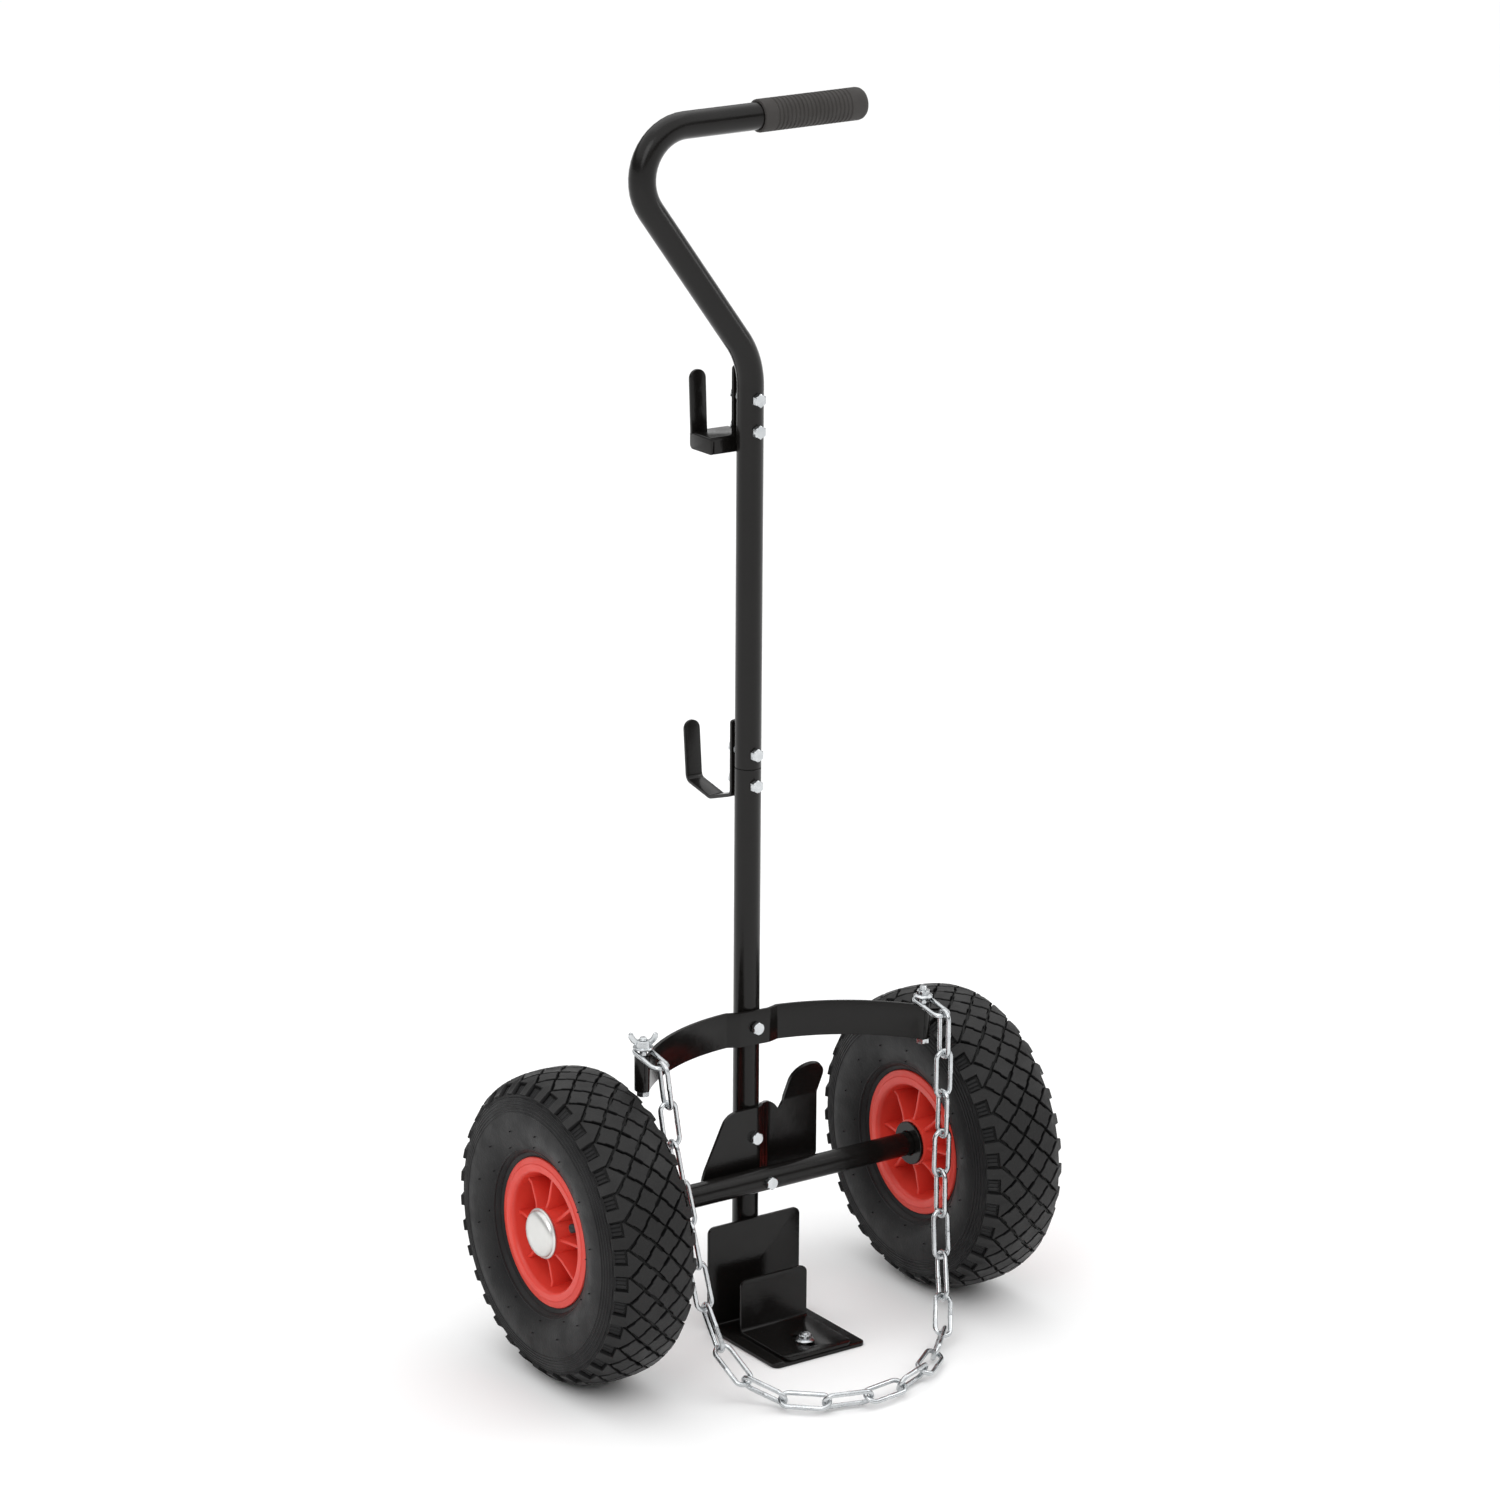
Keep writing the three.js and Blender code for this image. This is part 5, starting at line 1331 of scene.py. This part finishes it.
PAST_NUT, NUT_TURN = 2, 0.2  # the tip's height over the nut; the nut's turn against the head
for node in (
    "joint_bolt_upper",
    "joint_bolt_lower",
    "hook_bolt_upper",
    "hook_bolt_lower",
    "plate_bolt",
    "axle_bolt",
    "hoop_bolt",
):
    low, high = box_mm(node)
    length = high.y - low.y
    bm = headed_bolt(length, length - 6, 4)
    nut = hexagon(HEX_FLATS, NUT, top=True, bottom=True)
    join(bm, nut, Matrix.Translation((0, 0, length - PAST_NUT - NUT)) @ Matrix.Rotation(NUT_TURN, 4, "Z"))
    place = Matrix.Translation((0, low.y, (low.z + high.z) / 2)) @ ALONG_Y
    piece(f"{node}_hex", bm, ZINC, [node], place)

for node in ("lower_hook_washer", "upper_hook_washer"):
    low, high = box_mm(node)
    thin = high.y - low.y
    washer = turned([(3.4, 0), (5.8, 0), (6.0, 0.2), (6.0, thin - 0.2), (5.8, thin), (3.4, thin)], 48)
    place = Matrix.Translation((0, low.y, (low.z + high.z) / 2)) @ ALONG_Y
    piece(f"{node}_disc", washer, ZINC, [node], place)


# %% Flange nuts and the clamp's countersunk bolt
def flange_nut(bore=0.0):
    """A hexagon on a round skirt, 6 mm high, from Z 0 up."""
    skirt = [(bore, 0), (7.7, 0), (8.0, 0.3), (8.0, 1.1), (7.4, 1.6), (5.9, 2.5), (bore, 2.5)]
    bm = turned(skirt, 48, closed=bore > 0)
    join(bm, hexagon(HEX_FLATS, NUT, top=True, bore=bore), Matrix.Translation((0, 0, 1)))
    return bm


def standing(node, spin, lift=0.0):
    """Upright on the bottom of a node's box, in its middle, turned by an angle."""
    low, middle = box_mm(node)[0], middle_mm(node)
    return Matrix.Translation((middle.x, middle.y, low.z + lift)) @ Matrix.Rotation(spin, 4, "Z")


clamp_bolt_high = box_mm("clamp_bolt")[1]
sunk_head = [(0, 0.1), (5.4, 0.1), (5.8, 0.3), (5.8, 0.6)]
bolt = turned(sunk_head + [(BOLT_RADIUS, 3.0), (BOLT_RADIUS, 9), (0, 9)], 36, closed=False)
NUT_SEAT = 6.6  # where the nut's skirt starts, over the clamp
join(bolt, flange_nut(), Matrix.Translation((0, 0, NUT_SEAT)))
join(bolt, thread(BOLT_RADIUS, 4), Matrix.Translation((0, 0, clamp_bolt_high.z - 4)))
piece("clamp_bolt_fastened", bolt, ZINC, ["clamp_bolt"], Matrix.Translation((0, CLAMP_BOLT_Y, 0)))

for node in ("left_chain_bolt", "right_chain_bolt"):
    low, high = box_mm(node)
    length = high.z - low.z
    bm = headed_bolt(length, length - 12, 13)
    piece(f"{node}_hex", bm, ZINC, [node], standing(node, HOOP_SLEW + radians(90)))

lock_place = standing("chain_lock_nut", radians(14))
piece("lock_nut_flanged", flange_nut(3.2), ZINC, ["chain_lock_nut"], lock_place)

# %% Wing nut: a turned hub on its washer, with two pressed wings
WASHER_UNDER, WING_THICK, WING_TURN = 1.6, 2.4, radians(-30)
hub_profile = [(3.3, -WASHER_UNDER), (8.2, -WASHER_UNDER), (8.5, -1.3), (8.5, -0.3), (8.2, 0)]
hub_profile += [(6.0, 0.05), (5.9, 0.5), (5.2, 4.8), (4.7, 5.2), (3.3, 5.2)]
WING_CORNERS = [(3.6, 1.2), (6.4, 1.0), (9.5, 3.6), (12.0, 7.6), (11.8, 10.6)]
WING_CORNERS += [(10.2, 12.0), (8.2, 11.0), (6.2, 7.2), (3.6, 5.0)]
wing_nut = turned(hub_profile, 40)
for side in (-1, 1):
    wing = bmesh.new()
    sheet = wing.faces.new([wing.verts.new((x * side, -WING_THICK / 2, z)) for x, z in WING_CORNERS])
    other = bmesh.ops.extrude_face_region(wing, geom=[sheet])
    bmesh.ops.translate(wing, verts=made(other), vec=(0, WING_THICK, 0))
    bmesh.ops.recalc_face_normals(wing, faces=wing.faces)
    bevel(wing, [e for e in wing.edges if abs(e.verts[0].co.y - e.verts[1].co.y) < 0.1], 0.8, 3)
    join(wing_nut, wing)
wing_place = standing("wing_nut", WING_TURN, WASHER_UNDER)
piece("wing_nut_cast", wing_nut, ZINC, ["wing_nut"], wing_place, outward=False)

# %% [markdown]
# ## The chain
# Each link is round wire, bent to a long ring and welded on one leg, where a slight bulge stays. All links
# are equal; the frame says where each one lies, so every link is laid along the axes of its plain node.

# %% Links
WIRE, LINK_WIDTH, LINK_OPENING, LINKS = 2.0, 17.7, 36.3, 25
WELD_STEPS, WELD_HALF, SWELL = (0.9, 0.6, 0.7), 1.6, 0.11  # short runs beside the weld, for its bulge
bow_radius = (LINK_WIDTH - 2 * WIRE) / 2
straight_leg = LINK_OPENING + 2 * WIRE - 2 * bow_radius


def chain_link(sides=14, steps=14):
    """A link about the origin, long along X and flat in XY, with its weld on the leg at minus Y."""
    wire = Drawn(disc_section(WIRE, sides))
    quarter = straight_leg / 2 - sum(WELD_STEPS)
    for length in (*WELD_STEPS, quarter):
        wire.straight(length)
    wire.bend(bow_radius, 180, (0, 1, 0), steps)
    wire.straight(straight_leg)
    wire.bend(bow_radius, 180, (0, 1, 0), steps)
    for length in (quarter, *reversed(WELD_STEPS)):
        wire.straight(length)
    bm = wire.done()
    bm.transform(Matrix(((0, 0, 1, 0), (0, 1, 0, -bow_radius), (-1, 0, 0, 0), (0, 0, 0, 1))))
    ends = [f for f in bm.faces if len(f.verts) > 4]
    bmesh.ops.delete(bm, geom=ends, context="FACES_ONLY")
    bmesh.ops.remove_doubles(bm, verts=bm.verts, dist=0.01)
    for vert in bm.verts:
        if vert.co.y < 0 and abs(vert.co.x) < WELD_HALF:
            swell = 1 + SWELL * (1 - (abs(vert.co.x) / WIRE) ** 2)
            vert.co.y = -bow_radius + (vert.co.y + bow_radius) * swell
            vert.co.z *= swell
    bmesh.ops.recalc_face_normals(bm, faces=bm.faces)
    return bm


def link_place(node):
    """Where a plain link lies: its middle and its long, wide and thin directions."""
    source = frame["nodes"][node]
    local = np.array([tuple(source.matrix_world @ v.co) for v in source.data.vertices]) / MM
    points = np.unique(np.round(local, 3), axis=0)
    spread = points - points.mean(axis=0)
    axes = np.linalg.svd(spread, full_matrices=False)[2]
    along, across, face = (Vector(axis) for axis in axes)
    centre = Vector(points.mean(axis=0))
    for axis in axes:
        reach = spread @ axis
        centre += Vector(axis) * float(reach.max() + reach.min()) / 2
    if along.cross(across).dot(face) < 0:
        face = -face
    place = Matrix((along, across, face)).transposed().to_4x4()
    return Matrix.Translation(centre) @ place


for k in range(1, LINKS + 1):
    node = f"chain_link_{k:02d}"
    piece(f"{node}_wire", chain_link(), ZINC, [node], link_place(node), sharp=60)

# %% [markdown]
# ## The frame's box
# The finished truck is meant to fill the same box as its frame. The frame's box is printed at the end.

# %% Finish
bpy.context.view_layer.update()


def plain(bounds):
    return [[float(value) for value in corner] for corner in bounds]


print("frame", plain(cad_bounds))
